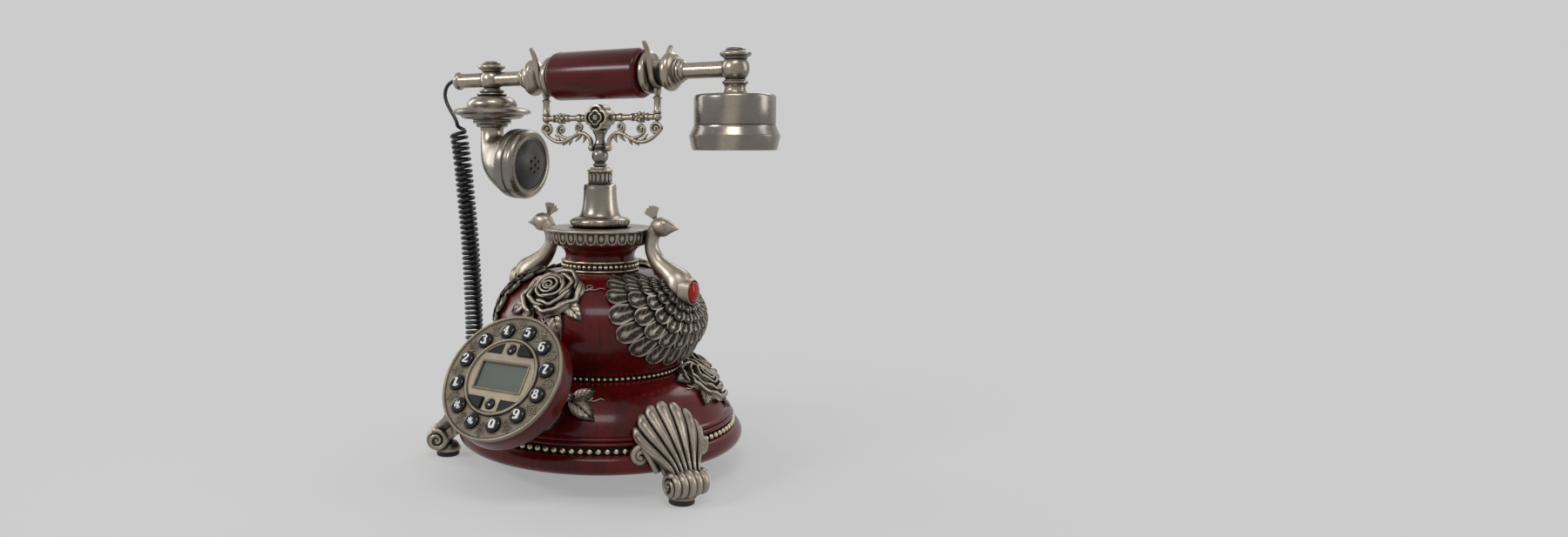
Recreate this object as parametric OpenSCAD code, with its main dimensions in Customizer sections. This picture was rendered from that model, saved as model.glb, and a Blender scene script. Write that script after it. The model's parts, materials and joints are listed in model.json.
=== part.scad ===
// A cradle telephone in an ornate cast style. Millimetres, +Z up, the floor at z = 0.
// The dial faces -Y, the mouthpiece and the cord are at -X, the earpiece is at +X.

/* [Base] */
// Outer radius of the rounded rim at the foot of the base
rim_r = 104; // [96:1:112]
// Radius of the rim's rounded edge
rim_round = 7; // [5:0.5:9]
// Height of the shell's underside above the floor
rim_z = 17; // [15:0.5:20]
// Wall of the base and vase shells
shell_wall = 3; // [2:0.25:4]
// Height of the domed part above the ledge
dome_h = 27; // [22:1:34]
// Radius of the waist between the base and the vase
waist_r = 59; // [54:1:66]

/* [Vase] */
// Widest radius of the vase
vase_r = 75; // [70:1:80]
// Height of the vase from the waist to the neck
vase_h = 67; // [60:1:76]
// Radius of the neck's red core
neck_r = 25.5; // [22:0.5:30]
// Height of the beaded neck band
band_h = 8.5; // [6:0.5:11]
// Height of the flared neck above the band
flare_h = 13.5; // [10:0.5:15]
// Radius of the scalloped flange
flange_r = 40.5; // [37:0.5:44]
// Height of the scalloped flange
flange_h = 9.6; // [8:0.1:12]

/* [Pedestal] */
// Radius of the ring at the foot of the pedestal
foot_ring_r = 21.6; // [19:0.2:25]
// Height of the ring at the foot of the pedestal
foot_ring_h = 6.9; // [5:0.1:9]
// Height of the bell-shaped pedestal
bell_h = 24; // [20:1:30]
// Radius of the bell's top
bell_top_r = 11.4; // [10:0.2:13]
// Height of the fluted collar
collar_h = 12; // [10:0.5:14]
// Radius of the fluted collar
collar_r = 9; // [8:0.1:10]

/* [Cradle] */
// Radius of the sliding plunger under the cradle
plunger_r = 4; // [3:0.1:4.6]
// Travel of the cradle's hook switch
hook_travel = 4; // [3:0.5:5]
// Running clearance of the plunger in its guide
plunger_gap = 0.06; // [0.04:0.01:0.09]
// Radius of the ball on the post
ball_r = 6.1; // [5:0.1:7]
// Distance from the axis to a fork post
fork_x = 47.2; // [44:0.2:48]
// Radius of the cross bar
bar_r = 2.1; // [1.6:0.1:2.6]
// Width of a fork along the handset
fork_w = 4.5; // [3.5:0.1:5]
// Height of the fork tips above the handset axis
tine_h = 19.5; // [16:0.5:22]

/* [Handset] */
// Radius of the lacquered grip
grip_r = 17.5; // [16:0.1:18.5]
// Half the length of the grip
grip_half = 37.4; // [35:0.1:40]
// Radius of the neck that lies in a fork
rest_r = 7.4; // [6.5:0.1:8]
// Radius of the long tube
tube_r = 5.5; // [4.5:0.1:6]
// Distance from the middle to the mouthpiece boss
mouth_x = 98.6; // [92:0.2:104]
// Distance from the middle to the earpiece boss
ear_x = 106; // [100:0.2:112]
// Radius of the ear cup
cup_r = 27.1; // [25:0.1:29]
// Height of the ear cup
cup_h = 20.4; // [17:0.2:24]
// Radius of the wide saucer over the mouthpiece
saucer_r = 30.1; // [27:0.1:33]
// Radius of the mouthpiece ring
mouth_r = 26.3; // [24:0.1:28]

/* [Dial] */
// Radius of the dial's face
dial_r = 44; // [41:0.5:47]
// Thickness of the red rim of the dial
dial_rim = 14; // [11:0.5:17]
// Angle of the dial's normal above the horizontal
dial_tilt = 36.5; // [33:0.5:40]
// Distance from the axis to the centre of the dial's face
dial_out = 117.8; // [114:0.2:122]
// Height of the centre of the dial's face
dial_z = 82.4; // [79:0.2:86]
// Radius of the circle of number keys
key_ring_r = 33.2; // [31:0.2:35]
// Diameter of a number key
key_d = 10.6; // [9:0.1:11.4]
// Travel of a key
key_travel = 1.5; // [1:0.1:2]
// Radius of the ring round the display
bezel_r = 27.2; // [25.5:0.1:28]
// Width of the display
lcd_w = 36; // [30:0.5:38]
// Height of the display
lcd_h = 18; // [15:0.5:19]
// Clearance round a key in its hole
key_gap = 0.3; // [0.2:0.05:0.5]

/* [Legs] */
// Distance from the axis to a foot pad
foot_out = 113.9; // [110:0.5:118]
// Radius of a foot pad
pad_r = 8.5; // [7:0.1:10]
// Height of a foot pad
pad_h = 4.7; // [4:0.1:5.4]
// Height of the top of a leg's shell
leg_top_z = 62; // [56:1:66]
// Width of a leg's shell
leg_w = 54; // [48:1:60]

/* [Ornament] */
// Half the width of a peacock's fan of feathers
fan_w = 54; // [48:1:58]
// Drop of the fan below the gem
fan_drop = 50; // [44:1:54]
// Number of feathers in the outer row
fan_n = 15; // [11:2:19]
// Radius of a gem
gem_r = 7.5; // [6:0.1:9]
// Radius of a rose on the vase
vase_rose_r = 21.5; // [18:0.5:24]
// Radius of a rose on the base
base_rose_r = 18.5; // [16:0.5:21]

/* [Cord] */
// Diameter of the cord's wire
wire_d = 3; // [2.6:0.1:3.1]
// Outer diameter of the curls
curl_d = 14.5; // [13:0.1:16]
// Number of curls
curls = 50; // [40:1:50]

/* [Hidden] */
$fn = 72;
seat = 0.15;

// Base and vase, stacked from the floor up
rim_top = rim_z + 2 * rim_round;
big_bead_r = 2.3;
big_bead_ring = rim_r - 7.6;
big_bead_z = rim_top + 1;
big_bead_reach = big_bead_ring + 0.9 + big_bead_r;
ledge_r = rim_r - 6;
ledge_z = rim_top + 4.5;
ledge_h = 5.4;
dome_r = ledge_r - 4.5;
dome_z = ledge_z + ledge_h + 2;
waist_z = dome_z + dome_h;
small_bead_r = 1.5;
small_bead_z = waist_z + small_bead_r;
small_bead_reach = waist_r + 0.7 + small_bead_r;
vase_z = waist_z + 2 * small_bead_r;
equator_z = vase_z + 0.44 * vase_h;
vase_top_z = vase_z + vase_h;
band_top_z = vase_top_z + band_h;
flare_top_z = band_top_z + flare_h;
flange_top_z = flare_top_z + flange_h;
shoulder_r = neck_r + 3;

// Pedestal and cradle, stacked on the flange
foot_ring_top = flange_top_z + foot_ring_h;
bell_top_z = foot_ring_top + bell_h;
collar_top_z = bell_top_z + collar_h;
post_gap = 2.2;
ball_z = collar_top_z + post_gap + ball_r;
baluster_h = 18.4;
baluster_top_z = ball_z + baluster_h;
block_half = 8.8;
block_t = 13;
bar_z = baluster_top_z + block_half;
knob_r = 4.1;
axis_z = bar_z + 30.6;
guide_depth = 18 + hook_travel;
guide_floor_z = bell_top_z - guide_depth;

// Handset, outward from the middle along X
ferrule_r = 14.6;
fork_side_gap = 0.35;
ferrule_end = fork_x - fork_w / 2 - fork_side_gap;
rest_end = fork_x + fork_w / 2 + 0.6;
big_ring_x = rest_end + 7.8;
big_ring_r = 13.5;
collar_end_x = big_ring_x + 12;
tube_end_x = 132.4;
boss_r = 8.8;
boss_cap_r = 10.5;
ear_cup_top = axis_z - 16.9;
ear_cup_low = ear_cup_top - cup_h;
ear_cap_h = 16.6;
horn_z = axis_z - 38.8;
mouth_tilt = 4;
mouth_ring_x = -70;
mouth_ring_z = axis_z - 64.2;
mouth_ring_t = 17;

// Dial
dial_core_r = dial_r - 3;
plate_t = 2.4;
key_shank_d = key_d - 1;
key_lip_d = key_d + 1.6;
key_stand = 2.8;
board_z = -9;
round_key_r = 3.4;
stem_r = 17.5;
stem_start = 34;

// Legs
roll_r = 9.4;
roll_w = 26;
roll_out = foot_out + 5.8;
roll_z = pad_h + roll_r + 0.1;
leg_angles = [-150, -30, 90];

// Line jack
jack_w = 12;
jack_h = 9;
jack_depth = 14;
jack_y = 58;

// ---------- curves and skins ----------
function unit(v) = v / norm(v);
function along(p, i) = unit(p[min(i + 1, len(p) - 1)] - p[max(i - 1, 0)]);
function bez(p, t) = let (s = 1 - t)
    s * s * s * p[0] + 3 * s * s * t * p[1] + 3 * s * t * t * p[2] + t * t * t * p[3];
// A ring of n points round the centre c, square to t, with side as its first direction
function ring(c, t, side, ru, rv, n) = let (u = unit(cross(side, t)), v = cross(t, u))
    [for (k = [0:n - 1]) c + ru * cos(360 * k / n) * u + rv * sin(360 * k / n) * v];
// A tube along the points p with a radius for each, all rings facing side
function tube_rings(p, r, side, n) =
    [for (i = [0:len(p) - 1]) ring(p[i], along(p, i), side, r[i], r[i], n)];

module skin(rings) {
    n = len(rings[0]);
    m = len(rings);
    points = [for (r = rings) each r];
    walls = [
        for (i = [0:m - 2]) for (k = [0:n - 1]) let (j = (k + 1) % n)
            each [[i * n + k, (i + 1) * n + k, (i + 1) * n + j], [i * n + k, (i + 1) * n + j, i * n + j]]
    ];
    first_cap = [for (k = [0:n - 1]) k];
    last_cap = [for (k = [n - 1:-1:0]) (m - 1) * n + k];
    polyhedron(points, concat(walls, [first_cap, last_cap]), convexity = 8);
}
module turned(profile) {
    rotate_extrude() polygon(profile);
}
function arc(cx, cy, r, a0, a1, n) =
    [for (i = [0:n]) let (a = a0 + (a1 - a0) * i / n) [cx + r * cos(a), cy + r * sin(a)]];

// ---------- outer surfaces of the base and the vase ----------
dome_bulge = 0.62;
function dome_point(t) = let (a = 90 * t)
    [waist_r + (dome_r - waist_r) * (dome_bulge * cos(a) + (1 - dome_bulge) * (1 - t)),
     dome_z + dome_h * (dome_bulge * sin(a) + (1 - dome_bulge) * t)];
// s runs from -1 at the waist, over 0 at the widest point, to 1 at the neck
function vase_point(s) = s < 0
    ? [vase_r - (vase_r - waist_r) * pow(-s, 1.4), equator_z + (equator_z - vase_z) * s]
    : [shoulder_r + (vase_r - shoulder_r) * cos(90 * s),
       equator_z + (vase_top_z - equator_z) * sin(90 * s)];
function vase_radius(z) = z < equator_z
    ? vase_r - (vase_r - waist_r) * pow((equator_z - z) / (equator_z - vase_z), 1.4)
    : shoulder_r + (vase_r - shoulder_r)
        * sqrt(max(0, 1 - pow((z - equator_z) / (vase_top_z - equator_z), 2)));

function vase_outline(d) = [for (i = [-6:10]) vase_point(i < 0 ? i / 6 : i / 10) + [d, 0]];

// ---------- base ----------
function base_profile(d) = concat(
    arc(rim_r - rim_round, rim_z + rim_round, rim_round - d, -90, 60, 10),
    [[big_bead_ring - 1.5 - d, rim_top - 1.2], [big_bead_ring - 1.5 - d, ledge_z]],
    arc(ledge_r - 1.3, ledge_z + 1.3, 1.3 - d / 2, -90, 90, 5),
    [[ledge_r - 2.4 - d, ledge_z + 2.7]],
    arc(ledge_r - 2.6, ledge_z + 4, 1.3 - d / 2, -60, 90, 5),
    [for (i = [0:10]) dome_point(i / 10) - [d, d]]
);
boss_h = ledge_z - rim_z + 1;
module base_shell() {
    color("#4a1210") {
        shell_wall_solid();
        for (a = [0:60:300]) rotate(a) translate([screw_ring_r, 0, rim_z + plate_h + 0.02]) difference() {
            cylinder(h = boss_h, r = 4);
            translate([0, 0, -1]) cylinder(h = 11, r = screw_r + 0.05);
        }
    }
}
module shell_wall_solid() {
    difference() {
        turned(concat([[0, rim_z]], base_profile(0), [[0, waist_z]]));
        translate([0, 0, -1])
        cylinder(h = rim_z + 13, r = rim_r - rim_round - shell_wall);
        translate([0, 0, rim_z])
        cylinder(h = dome_z - rim_z, r1 = rim_r - rim_round - shell_wall, r2 = dome_r - 2 * shell_wall);
        translate([0, 0, dome_z - 0.01])
        cylinder(h = dome_h - 2 * shell_wall, r1 = dome_r - 2 * shell_wall, r2 = waist_r - shell_wall);
        cylinder(h = waist_z + 1, r = waist_r / 2);
        translate([-bush_in, 0, bush_z]) rotate([0, -90, 0]) translate([0, 0, -1])
        cylinder(h = bush_out - bush_in + 2, r = bush_r + 0.05);
    }
}
plate_r = rim_r - rim_round - shell_wall - 0.4;
plate_h = 2;
screw_r = 1.6;
screw_ring_r = plate_r - 7;
module bottom_plate() {
    color("#2b2623")
    difference() {
        translate([0, 0, rim_z])
        cylinder(h = plate_h, r = plate_r);
        for (a = [0:60:300]) rotate(a) translate([screw_ring_r, 0, rim_z - 1])
            cylinder(h = 4, r = screw_r + 0.2);
        for (i = [-3:3]) translate([i * 7 - 1.2, -62, rim_z - 1])
            cube([2.4, 24, 4]);
        translate([-jack_w / 2, jack_y - jack_h / 2, rim_z - 1]) cube([jack_w, jack_h, 4]);
    }
}
module bottom_screws() {
    color("silver")
    for (a = [0:60:300]) rotate(a) translate([screw_ring_r, 0, rim_z - 1.7]) {
        difference() {
            cylinder(h = 1.65, r1 = 2.4, r2 = 3.2);
            translate([0, 0, -0.1]) cylinder(h = 0.9, r = 1, $fn = 6);
        }
        translate([0, 0, 1.6]) cylinder(h = 8, r = screw_r);
    }
}
module bead_ring(ring_r, bead_r, z, base_w) {
    translate([0, 0, z]) turned(concat(
        [[ring_r - base_w, -bead_r + 0.1]],
        arc(ring_r, 0, bead_r - 0.1, -90, 90, 8),
        [[ring_r - base_w, bead_r - 0.1]]
    ));
}
module base_bead_ring() {
    color("#b8ad98")
    bead_ring(big_bead_ring + 0.9, big_bead_r, big_bead_z + 0.2, 2.2);
}
module waist_bead_ring() {
    color("#b8ad98")
    bead_ring(waist_r + 0.6, small_bead_r + 0.1, small_bead_z, 4);
}
function vase_wall(s, d) = vase_point(s) - (s < 0 ? [d, -d / 2] : d * [cos(90 * s), sin(90 * s)]);
flare_foot_r = neck_r - 0.4;
flare_lip_r = flange_r - 3.8;
module vase_shell() {
    outer = concat(
        vase_outline(0),
        [[neck_r, vase_top_z], [neck_r, band_top_z], [flare_foot_r, band_top_z + 1.8]],
        [for (i = [1:6]) let (a = 15 * i)
            [flare_foot_r + (flare_lip_r - flare_foot_r) * (1 - cos(a)),
             band_top_z + 1.8 + (flare_h - 1.8) * sin(a)]]
    );
    inner = concat(
        [for (i = [-6:9]) vase_wall(i < 0 ? i / 6 : i / 10, shell_wall)],
        [[neck_r - shell_wall, vase_top_z - shell_wall]]
    );
    color("#4a1210")
    difference() {
        turned(concat([[0, vase_z]], outer, [[0, flare_top_z]]));
        turned(concat([[0, vase_z + shell_wall]], inner, [[0, vase_top_z - shell_wall]]));
        translate([0, 0, vase_z - 1]) cylinder(h = shell_wall + 2, r = waist_r / 2);
        translate([0, 0, vase_top_z - 2 * shell_wall])
        cylinder(h = 2 * shell_wall + band_h + flare_h + 1, r = neck_r - 2 * shell_wall - 6);
    }
}
band_r = neck_r + 2.8;
module neck_bead_band() {
    color("#a79c87")
    turned([
        [neck_r + 0.05, vase_top_z + 0.1], [band_r, vase_top_z + 0.1], [band_r, vase_top_z + 1.6],
        [band_r - 1.1, vase_top_z + 2.1], [band_r - 1.1, band_top_z - 2.1],
        [band_r, band_top_z - 1.6], [band_r - 0.4, band_top_z - 0.1], [neck_r + 0.05, band_top_z - 0.1],
    ]);
}
lobe_n = 32;
module scallop_flange() {
    lobe_w = 2 * PI * flange_r / lobe_n;
    color("#b0a58f")
    difference() {
        turned([
            [foot_ring_r - 8, flare_top_z + 0.02], [flare_lip_r + 0.6, flare_top_z + 0.02],
            [flare_lip_r + 1.6, flare_top_z - 1.4], [flange_r - 1.4, flare_top_z + 0.4],
            [flange_r - 0.2, flare_top_z + 3], [flange_r, flange_top_z - 2.6],
            [flange_r - 1.2, flange_top_z - 1], [flange_r - 4, flange_top_z],
            [foot_ring_r - 8, flange_top_z],
        ]);
        for (i = [0:lobe_n - 1]) rotate([0, 0, i * 360 / lobe_n])
            translate([flange_r - 1.5, 0, flare_top_z - 1.9])
            rotate([0, 90, 0])
            cylinder(h = 4, r = 0.32 * lobe_w, $fn = 24);
    }
}
// ---------- pedestal ----------
guide_r = plunger_r + plunger_gap;
module pedestal_bell() {
    flare = foot_ring_r - 5.6;
    color("#a2988a")
    difference() {
        turned(concat(
            [[0, flange_top_z + 0.02], [foot_ring_r - 1.2, flange_top_z + 0.02]],
            arc(foot_ring_r - foot_ring_h / 2, flange_top_z + foot_ring_h / 2, foot_ring_h / 2, -70, 70, 8),
            [[flare, foot_ring_top - 0.2]],
            [for (i = [1:8]) let (a = 11.25 * i)
                [flare - (flare - bell_top_r - 0.9) * sin(a), foot_ring_top + (bell_h - 3) * (1 - cos(a))]],
            [[bell_top_r, bell_top_z - 1], [bell_top_r - 0.8, bell_top_z], [0, bell_top_z]]
        ));
        translate([0, 0, guide_floor_z])
        cylinder(h = guide_depth + 1, r = guide_r);
        translate([0, 0, flange_top_z - 1])
        cylinder(h = guide_floor_z - flange_top_z - 2, r = 1.5);
    }
}
flutes = 16;
module fluted_collar() {
    color("#a2988a")
    difference() {
        turned([
            [0, bell_top_z + 0.02], [collar_r - 0.6, bell_top_z + 0.02], [collar_r, bell_top_z + 0.8],
            [collar_r, collar_top_z - 4.2], [collar_r - 0.9, collar_top_z - 3.6],
            [collar_r + 0.3, collar_top_z - 2.8], [collar_r + 0.3, collar_top_z - 1.6],
            [collar_r - 1.4, collar_top_z - 0.6], [collar_r - 2, collar_top_z], [0, collar_top_z],
        ]);
        translate([0, 0, bell_top_z - 1]) cylinder(h = collar_h + 2, r = guide_r);
        for (i = [0:flutes - 1]) rotate([0, 0, i * 360 / flutes])
            translate([collar_r + 0.5, 0, bell_top_z + 1.6])
            cylinder(h = collar_h - 6.8, r = 1.2, $fn = 24);
    }
}
spring_h = 12;
module hook_spring() {
    color("silver")
    translate([0, 0, guide_floor_z]) difference() {
        cylinder(h = spring_h, r = plunger_r - 0.6);
        translate([0, 0, -1]) cylinder(h = spring_h + 2, r = plunger_r - 1.5);
    }
}

// ---------- cradle ----------
module cradle_post() {
    z0 = guide_floor_z + spring_h;
    color("#a2988a")
    turned(concat(
        [[0, z0], [plunger_r - 0.5, z0], [plunger_r, z0 + 0.5], [plunger_r, ball_z - ball_r + 0.6]],
        arc(0, ball_z, ball_r, -52, 58, 12),
        [[3.4, ball_z + ball_r - 0.6], [3.9, ball_z + 8], [3.5, ball_z + 9.5],
         [3.6, baluster_top_z - 5], [4.3, baluster_top_z - 2.4], [5.3, baluster_top_z - 1.2],
         [5.3, baluster_top_z], [0, baluster_top_z]]
    ));
}
bead_x = 17.5;
bead_knob_r = 2.7;
bead_volute_r = 3.3;
flower_x = 33.7;
flower_r = 4;
flower_volute_r = 3.7;
end_knob_r = 3.1;
module quatrefoil(r, t) {
    rotate([90, 0, 0]) linear_extrude(t, center = true) {
        for (a = [0:90:270]) rotate(a) translate([r * 0.52, 0]) circle(r * 0.48);
        rotate(45) square(r * 0.98, center = true);
    }
}
module cradle_bar() {
    color("#a2988a")
    translate([0, 0, bar_z]) {
        rotate([0, 90, 0]) cylinder(h = 2 * fork_x, r = bar_r, center = true);
        difference() {
            quatrefoil(block_half, block_t);
            for (s = [-1, 1]) translate([0, s * block_t / 2, 0]) quatrefoil(block_half - 1.3, 1.6);
        }
        quatrefoil(block_half * 0.5, block_t);
        translate([0, 0, -block_half]) cylinder(h = 4, r = 3.8);
        for (s = [-1, 1]) {
            translate([s * bead_x, 0, 0]) sphere(bead_knob_r);
            translate([s * flower_x, 0, 0]) quatrefoil(flower_r, 6.4);
            translate([s * fork_x, 0, 0]) sphere(end_knob_r);
        }
    }
}
// Both sides of a strip along the 2-D path p, with a width for each point
function strip(p, w) = let (
    n = [for (i = [0:len(p) - 1]) let (t = along(p, i)) [-t[1], t[0]]])
    concat([for (i = [0:len(p) - 1]) p[i] + n[i] * w[i] / 2],
           [for (i = [len(p) - 1:-1:0]) p[i] - n[i] * w[i] / 2]);
function spiral(cx, cy, r0, r1, a0, a1, n) = [for (i = [0:n])
    let (r = r0 + (r1 - r0) * i / n, a = a0 + (a1 - a0) * i / n) [cx + r * cos(a), cy + r * sin(a)]];
function fade(n, w0, w1) = [for (i = [0:n - 1]) w0 + (w1 - w0) * i / (n - 1)];

scroll_t = 3;
volute_r = 4.4;
module vine(p, w0, w1) {
    linear_extrude(scroll_t) polygon(strip(p, fade(len(p), w0, w1)));
}
volute_w = 1.5;
function volute_z(knob, r) = -knob - r - volute_w / 2 - 0.1;
module volute(x, knob, r, a0, turn) {
    p = spiral(x, volute_z(knob, r), r, r * 0.3, a0, a0 + turn, 16);
    vine(p, volute_w, 1.1);
    translate(p[16]) cylinder(h = scroll_t, r = 1.1);
}
module leaf_tip(x, z, a, l) {
    translate([x, z]) rotate(a) linear_extrude(scroll_t)
        polygon([[0, -1], [l * 0.6, -0.9], [l, 0], [l * 0.5, 0.9], [0, 1]]);
}
module scroll_arm() {
    low = -bar_r - 13.6;
    end_x = fork_x - 1.2;
    arm = concat(
        [for (i = [0:6]) bez([[8, low - 5], [8.4, low + 6], [16, low + 8], [24, low + 1.5]], i / 6)],
        [for (i = [1:8]) bez([[24, low + 1.5], [33, low - 2], [end_x + 6, low - 2.4],
                              [end_x + volute_r, volute_z(end_knob_r, volute_r)]], i / 8)]
    );
    vine(arm, 2.6, 1.5);
    volute(end_x, end_knob_r, volute_r, 0, 480);
    volute(flower_x, flower_r, flower_volute_r, -60, 440);
    volute(bead_x, bead_knob_r, bead_volute_r, -60, 440);
    vine([for (i = [0:4]) bez([[26, low + 0.8], [31, low], [flower_x + 2.2, low + 2],
        [flower_x + 2, volute_z(flower_r, flower_volute_r) - 3.1]], i / 4)], 1.8, 1.4);
    vine([for (i = [0:4]) bez([[13, low + 4.4], [16, low + 3.6], [bead_x + 2, low + 3.8],
        [bead_x + 1.8, volute_z(bead_knob_r, bead_volute_r) - 2.8]], i / 4)], 1.8, 1.4);
    leaf_tip(14, low + 5, -80, 8);
    leaf_tip(17.5, low + 4.6, -50, 7.5);
    leaf_tip(27, low + 0.6, -70, 6);
    leaf_tip(38, low - 1.4, 75, 5);
    translate([8, low - 6.2]) cylinder(h = scroll_t, r = 2.2);
}
module cradle_scrolls() {
    color("#a2988a")
    for (s = [-1, 1]) scale([s, 1, 1])
        translate([0, scroll_t / 2, bar_z]) rotate([90, 0, 0])
        scroll_arm();
}

fork_t = 3.4;
fork_gap = 0.35;
fork_mid_r = rest_r + fork_gap + fork_t / 2;
knob_z = axis_z - fork_mid_r - fork_t / 2 - knob_r + 0.5;
module fork() {
    half = concat(
        spiral(0, 0, fork_mid_r, fork_mid_r, -90, -35, 7),
        [for (i = [1:8]) bez([fork_mid_r * [cos(-35), sin(-35)], [11.4, 0], [12, tine_h * 0.6],
                              [20, tine_h]], i / 8)]
    );
    widths = concat(fade(8, fork_t, 3.2), fade(8, 3.1, 1.7));
    translate([fork_x - fork_w / 2, 0, axis_z]) rotate([90, 0, 90]) linear_extrude(fork_w)
        for (s = [-1, 1]) scale([s, 1]) {
            polygon(strip(half, widths));
            translate([20, tine_h]) circle(1.3, $fn = 20);
        }
    translate([fork_x, 0, knob_z]) {
        intersection() {
            sphere(knob_r);
            translate([0, 0, -knob_r]) cube([fork_w, 20, 4 * knob_r - 0.4], center = true);
        }
    }
    translate([fork_x, 0, bar_z + 3]) cylinder(h = knob_z - bar_z - 3, r = 2.4);
}
module cradle_forks() {
    color("#a2988a")
    for (s = [-1, 1]) scale([s, 1, 1]) fork();
}

// ---------- handset ----------
module along_x() {
    translate([0, 0, axis_z]) rotate([0, 90, 0]) children();
}
module grip() {
    color("#4a1210")
    along_x() turned(concat(
        [[tube_r + 0.05, -grip_half]], arc(grip_r - 3, 3 - grip_half, 3, -90, 0, 6),
        arc(grip_r - 3, grip_half - 3, 3, 0, 90, 6), [[tube_r + 0.05, grip_half]]
    ));
}
// Radius against distance from the middle, ferrule to collar
function half_handle() = concat(
    [[tube_r, grip_half + 0.05], [ferrule_r - 2.2, grip_half + 0.05], [ferrule_r - 2.2, grip_half + 1],
     [ferrule_r - 0.5, grip_half + 1.4], [ferrule_r, grip_half + 2], [ferrule_r, ferrule_end - 1.2],
     [ferrule_r - 1.2, ferrule_end], [rest_r, ferrule_end + 0.1], [rest_r, rest_end],
     [rest_r + 1.4, rest_end + 2.2], [rest_r + 3.8, rest_end + 3.8]],
    arc(big_ring_r - 3.8, big_ring_x, 3.8, -65, 65, 8),
    [[8.6, big_ring_x + 4], [8.6, big_ring_x + 6], [7.4, big_ring_x + 6.5], [7.4, big_ring_x + 8.5],
     [6.4, big_ring_x + 9], [6.4, collar_end_x - 1], [tube_r, collar_end_x]]
);
module handle_tube() {
    h = half_handle();
    color("#b4aa9b")
    along_x() turned(concat(
        [[0, -tube_end_x], [6.4, -tube_end_x], [6.8, 0.6 - tube_end_x], [6.8, 3.2 - tube_end_x],
         [6.2, 3.8 - tube_end_x], [tube_r, 4.2 - tube_end_x]],
        [for (i = [len(h) - 1:-1:0]) [h[i][0], -h[i][1]]],
        h, [[tube_r, ear_x], [0, ear_x]]
    ));
}
// Turned cap and boss that both ends share, with heights from the handset axis
function boss_profile(r) = concat(
    [[0, 13.9], [4.6, 13.6], [6.6, 12.6], [6.9, 11.4], [9.4, 10.8], [boss_cap_r, 9.4],
     [boss_cap_r, 8.2], [9, 7.2], [7.6, 6.4]],
    arc(0, 0, r, 40, -52, 10)
);
module mouth_stack() {
    color("#b4aa9b")
    translate([-mouth_x, 0, axis_z]) difference() {
        turned(concat(boss_profile(boss_r),
            [[7, -7.6], [9.4, -8], [9.6, -9.2], [8.6, -9.8], [11.4, -10.6], [11.6, -11.8], [10.4, -12.6]],
            [for (i = [0:5]) [10.6 + 8.4 * sin(18 * i), -12.8 - 6.6 * (1 - cos(18 * i))]],
            [[19, -20.6], [21, -21.6], [saucer_r - 3, -22.4], [saucer_r - 0.6, -23.4], [saucer_r, -24.6],
             [saucer_r - 0.8, -25.8], [24, -27.4], [22.6, -29.4], [14.6, -30.4], [13.8, -33.4],
             [10.6, -34], [10, -36.4], [8.8, -36.8], [8.8, horn_z - axis_z], [0, horn_z - axis_z]]
        ));
        rotate([0, 90, 0]) cylinder(h = 40, r = tube_r + 0.05, center = true);
    }
}
// The elbow is a stack of circles, each spanning from its inner to its outer edge
elbow_r = 8.6;
module mouth_horn() {
    n = 20;
    steps = 9;
    c = [-mouth_x, 0, horn_z - 0.02];
    d = [sin(mouth_tilt), 0, cos(mouth_tilt)];
    back = mouth_ring_t / 2 + 0.02;
    m = [mouth_ring_x - back * cos(mouth_tilt), 0, mouth_ring_z + back * sin(mouth_tilt)];
    big = mouth_r - 1.7;
    inner = [c + [elbow_r, 0, 0], c + [elbow_r, 0, -7], m + big * d + [-9, 0, -4], m + big * d];
    outer = [c - [elbow_r, 0, 0], c + [-elbow_r - 1, 0, -26], m - big * d + [-22, 0, 12], m - big * d];
    color("#b4aa9b")
    skin([for (i = [0:steps]) let (
        a = bez(inner, i / steps), b = bez(outer, i / steps),
        mid = (a + b) / 2, r = norm(b - a) / 2, u = unit(a - b))
        [for (k = [0:n - 1]) mid + r * (cos(360 * k / n) * u + [0, sin(360 * k / n), 0])]]);
}
module mouth_face() {
    color("#8d857a")
    translate([mouth_ring_x, 0, mouth_ring_z]) rotate([0, 90 + mouth_tilt, 0]) difference() {
        turned(concat(
            [[0, -mouth_ring_t / 2], [mouth_r - 1.4, -mouth_ring_t / 2],
             [mouth_r - 0.4, 0.8 - mouth_ring_t / 2],
             [mouth_r, -3], [mouth_r, 2.6], [mouth_r - 0.5, 3.2], [mouth_r - 0.3, 5.4],
             [mouth_r - 2.2, mouth_ring_t / 2], [mouth_r - 3.4, mouth_ring_t / 2]],
            [for (i = [0:6]) let (a = 90 - 15 * i)
                [(mouth_r - 4.4) * sin(a), mouth_ring_t / 2 - 1 + 5.2 * cos(a)]]
        ));
        for (a = [0:60:300]) rotate(a) translate([5.4, 0, mouth_ring_t / 2 - 2]) cylinder(h = 12, r = 0.8);
        translate([0, 0, mouth_ring_t / 2 - 2]) cylinder(h = 12, r = 0.8);
    }
}
module ear_stack() {
    color("#b4aa9b")
    translate([ear_x, 0, axis_z]) difference() {
        turned(concat(boss_profile(9.4),
            [[7, -7.8], [8.4, -8.2], [8.6, -9.8], [7.6, -10.6], [7.2, -13],
             [8.2, ear_cup_top - axis_z], [0, ear_cup_top - axis_z]]
        ));
        translate([0.05 - 20, 0, 0]) rotate([0, 90, 0]) cylinder(h = 20, r = tube_r + 0.05);
    }
}
module ear_cup() {
    color("#b4aa9b")
    translate([ear_x, 0, ear_cup_low]) difference() {
        turned(concat([[0, 0], [cup_r, 0]], arc(cup_r - 2.2, cup_h - 2.2, 2.2, 0, 90, 5), [[0, cup_h]]));
        translate([0, 0, -1]) cylinder(h = cup_h - 2, r = cup_r - 2.5);
    }
}
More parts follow.
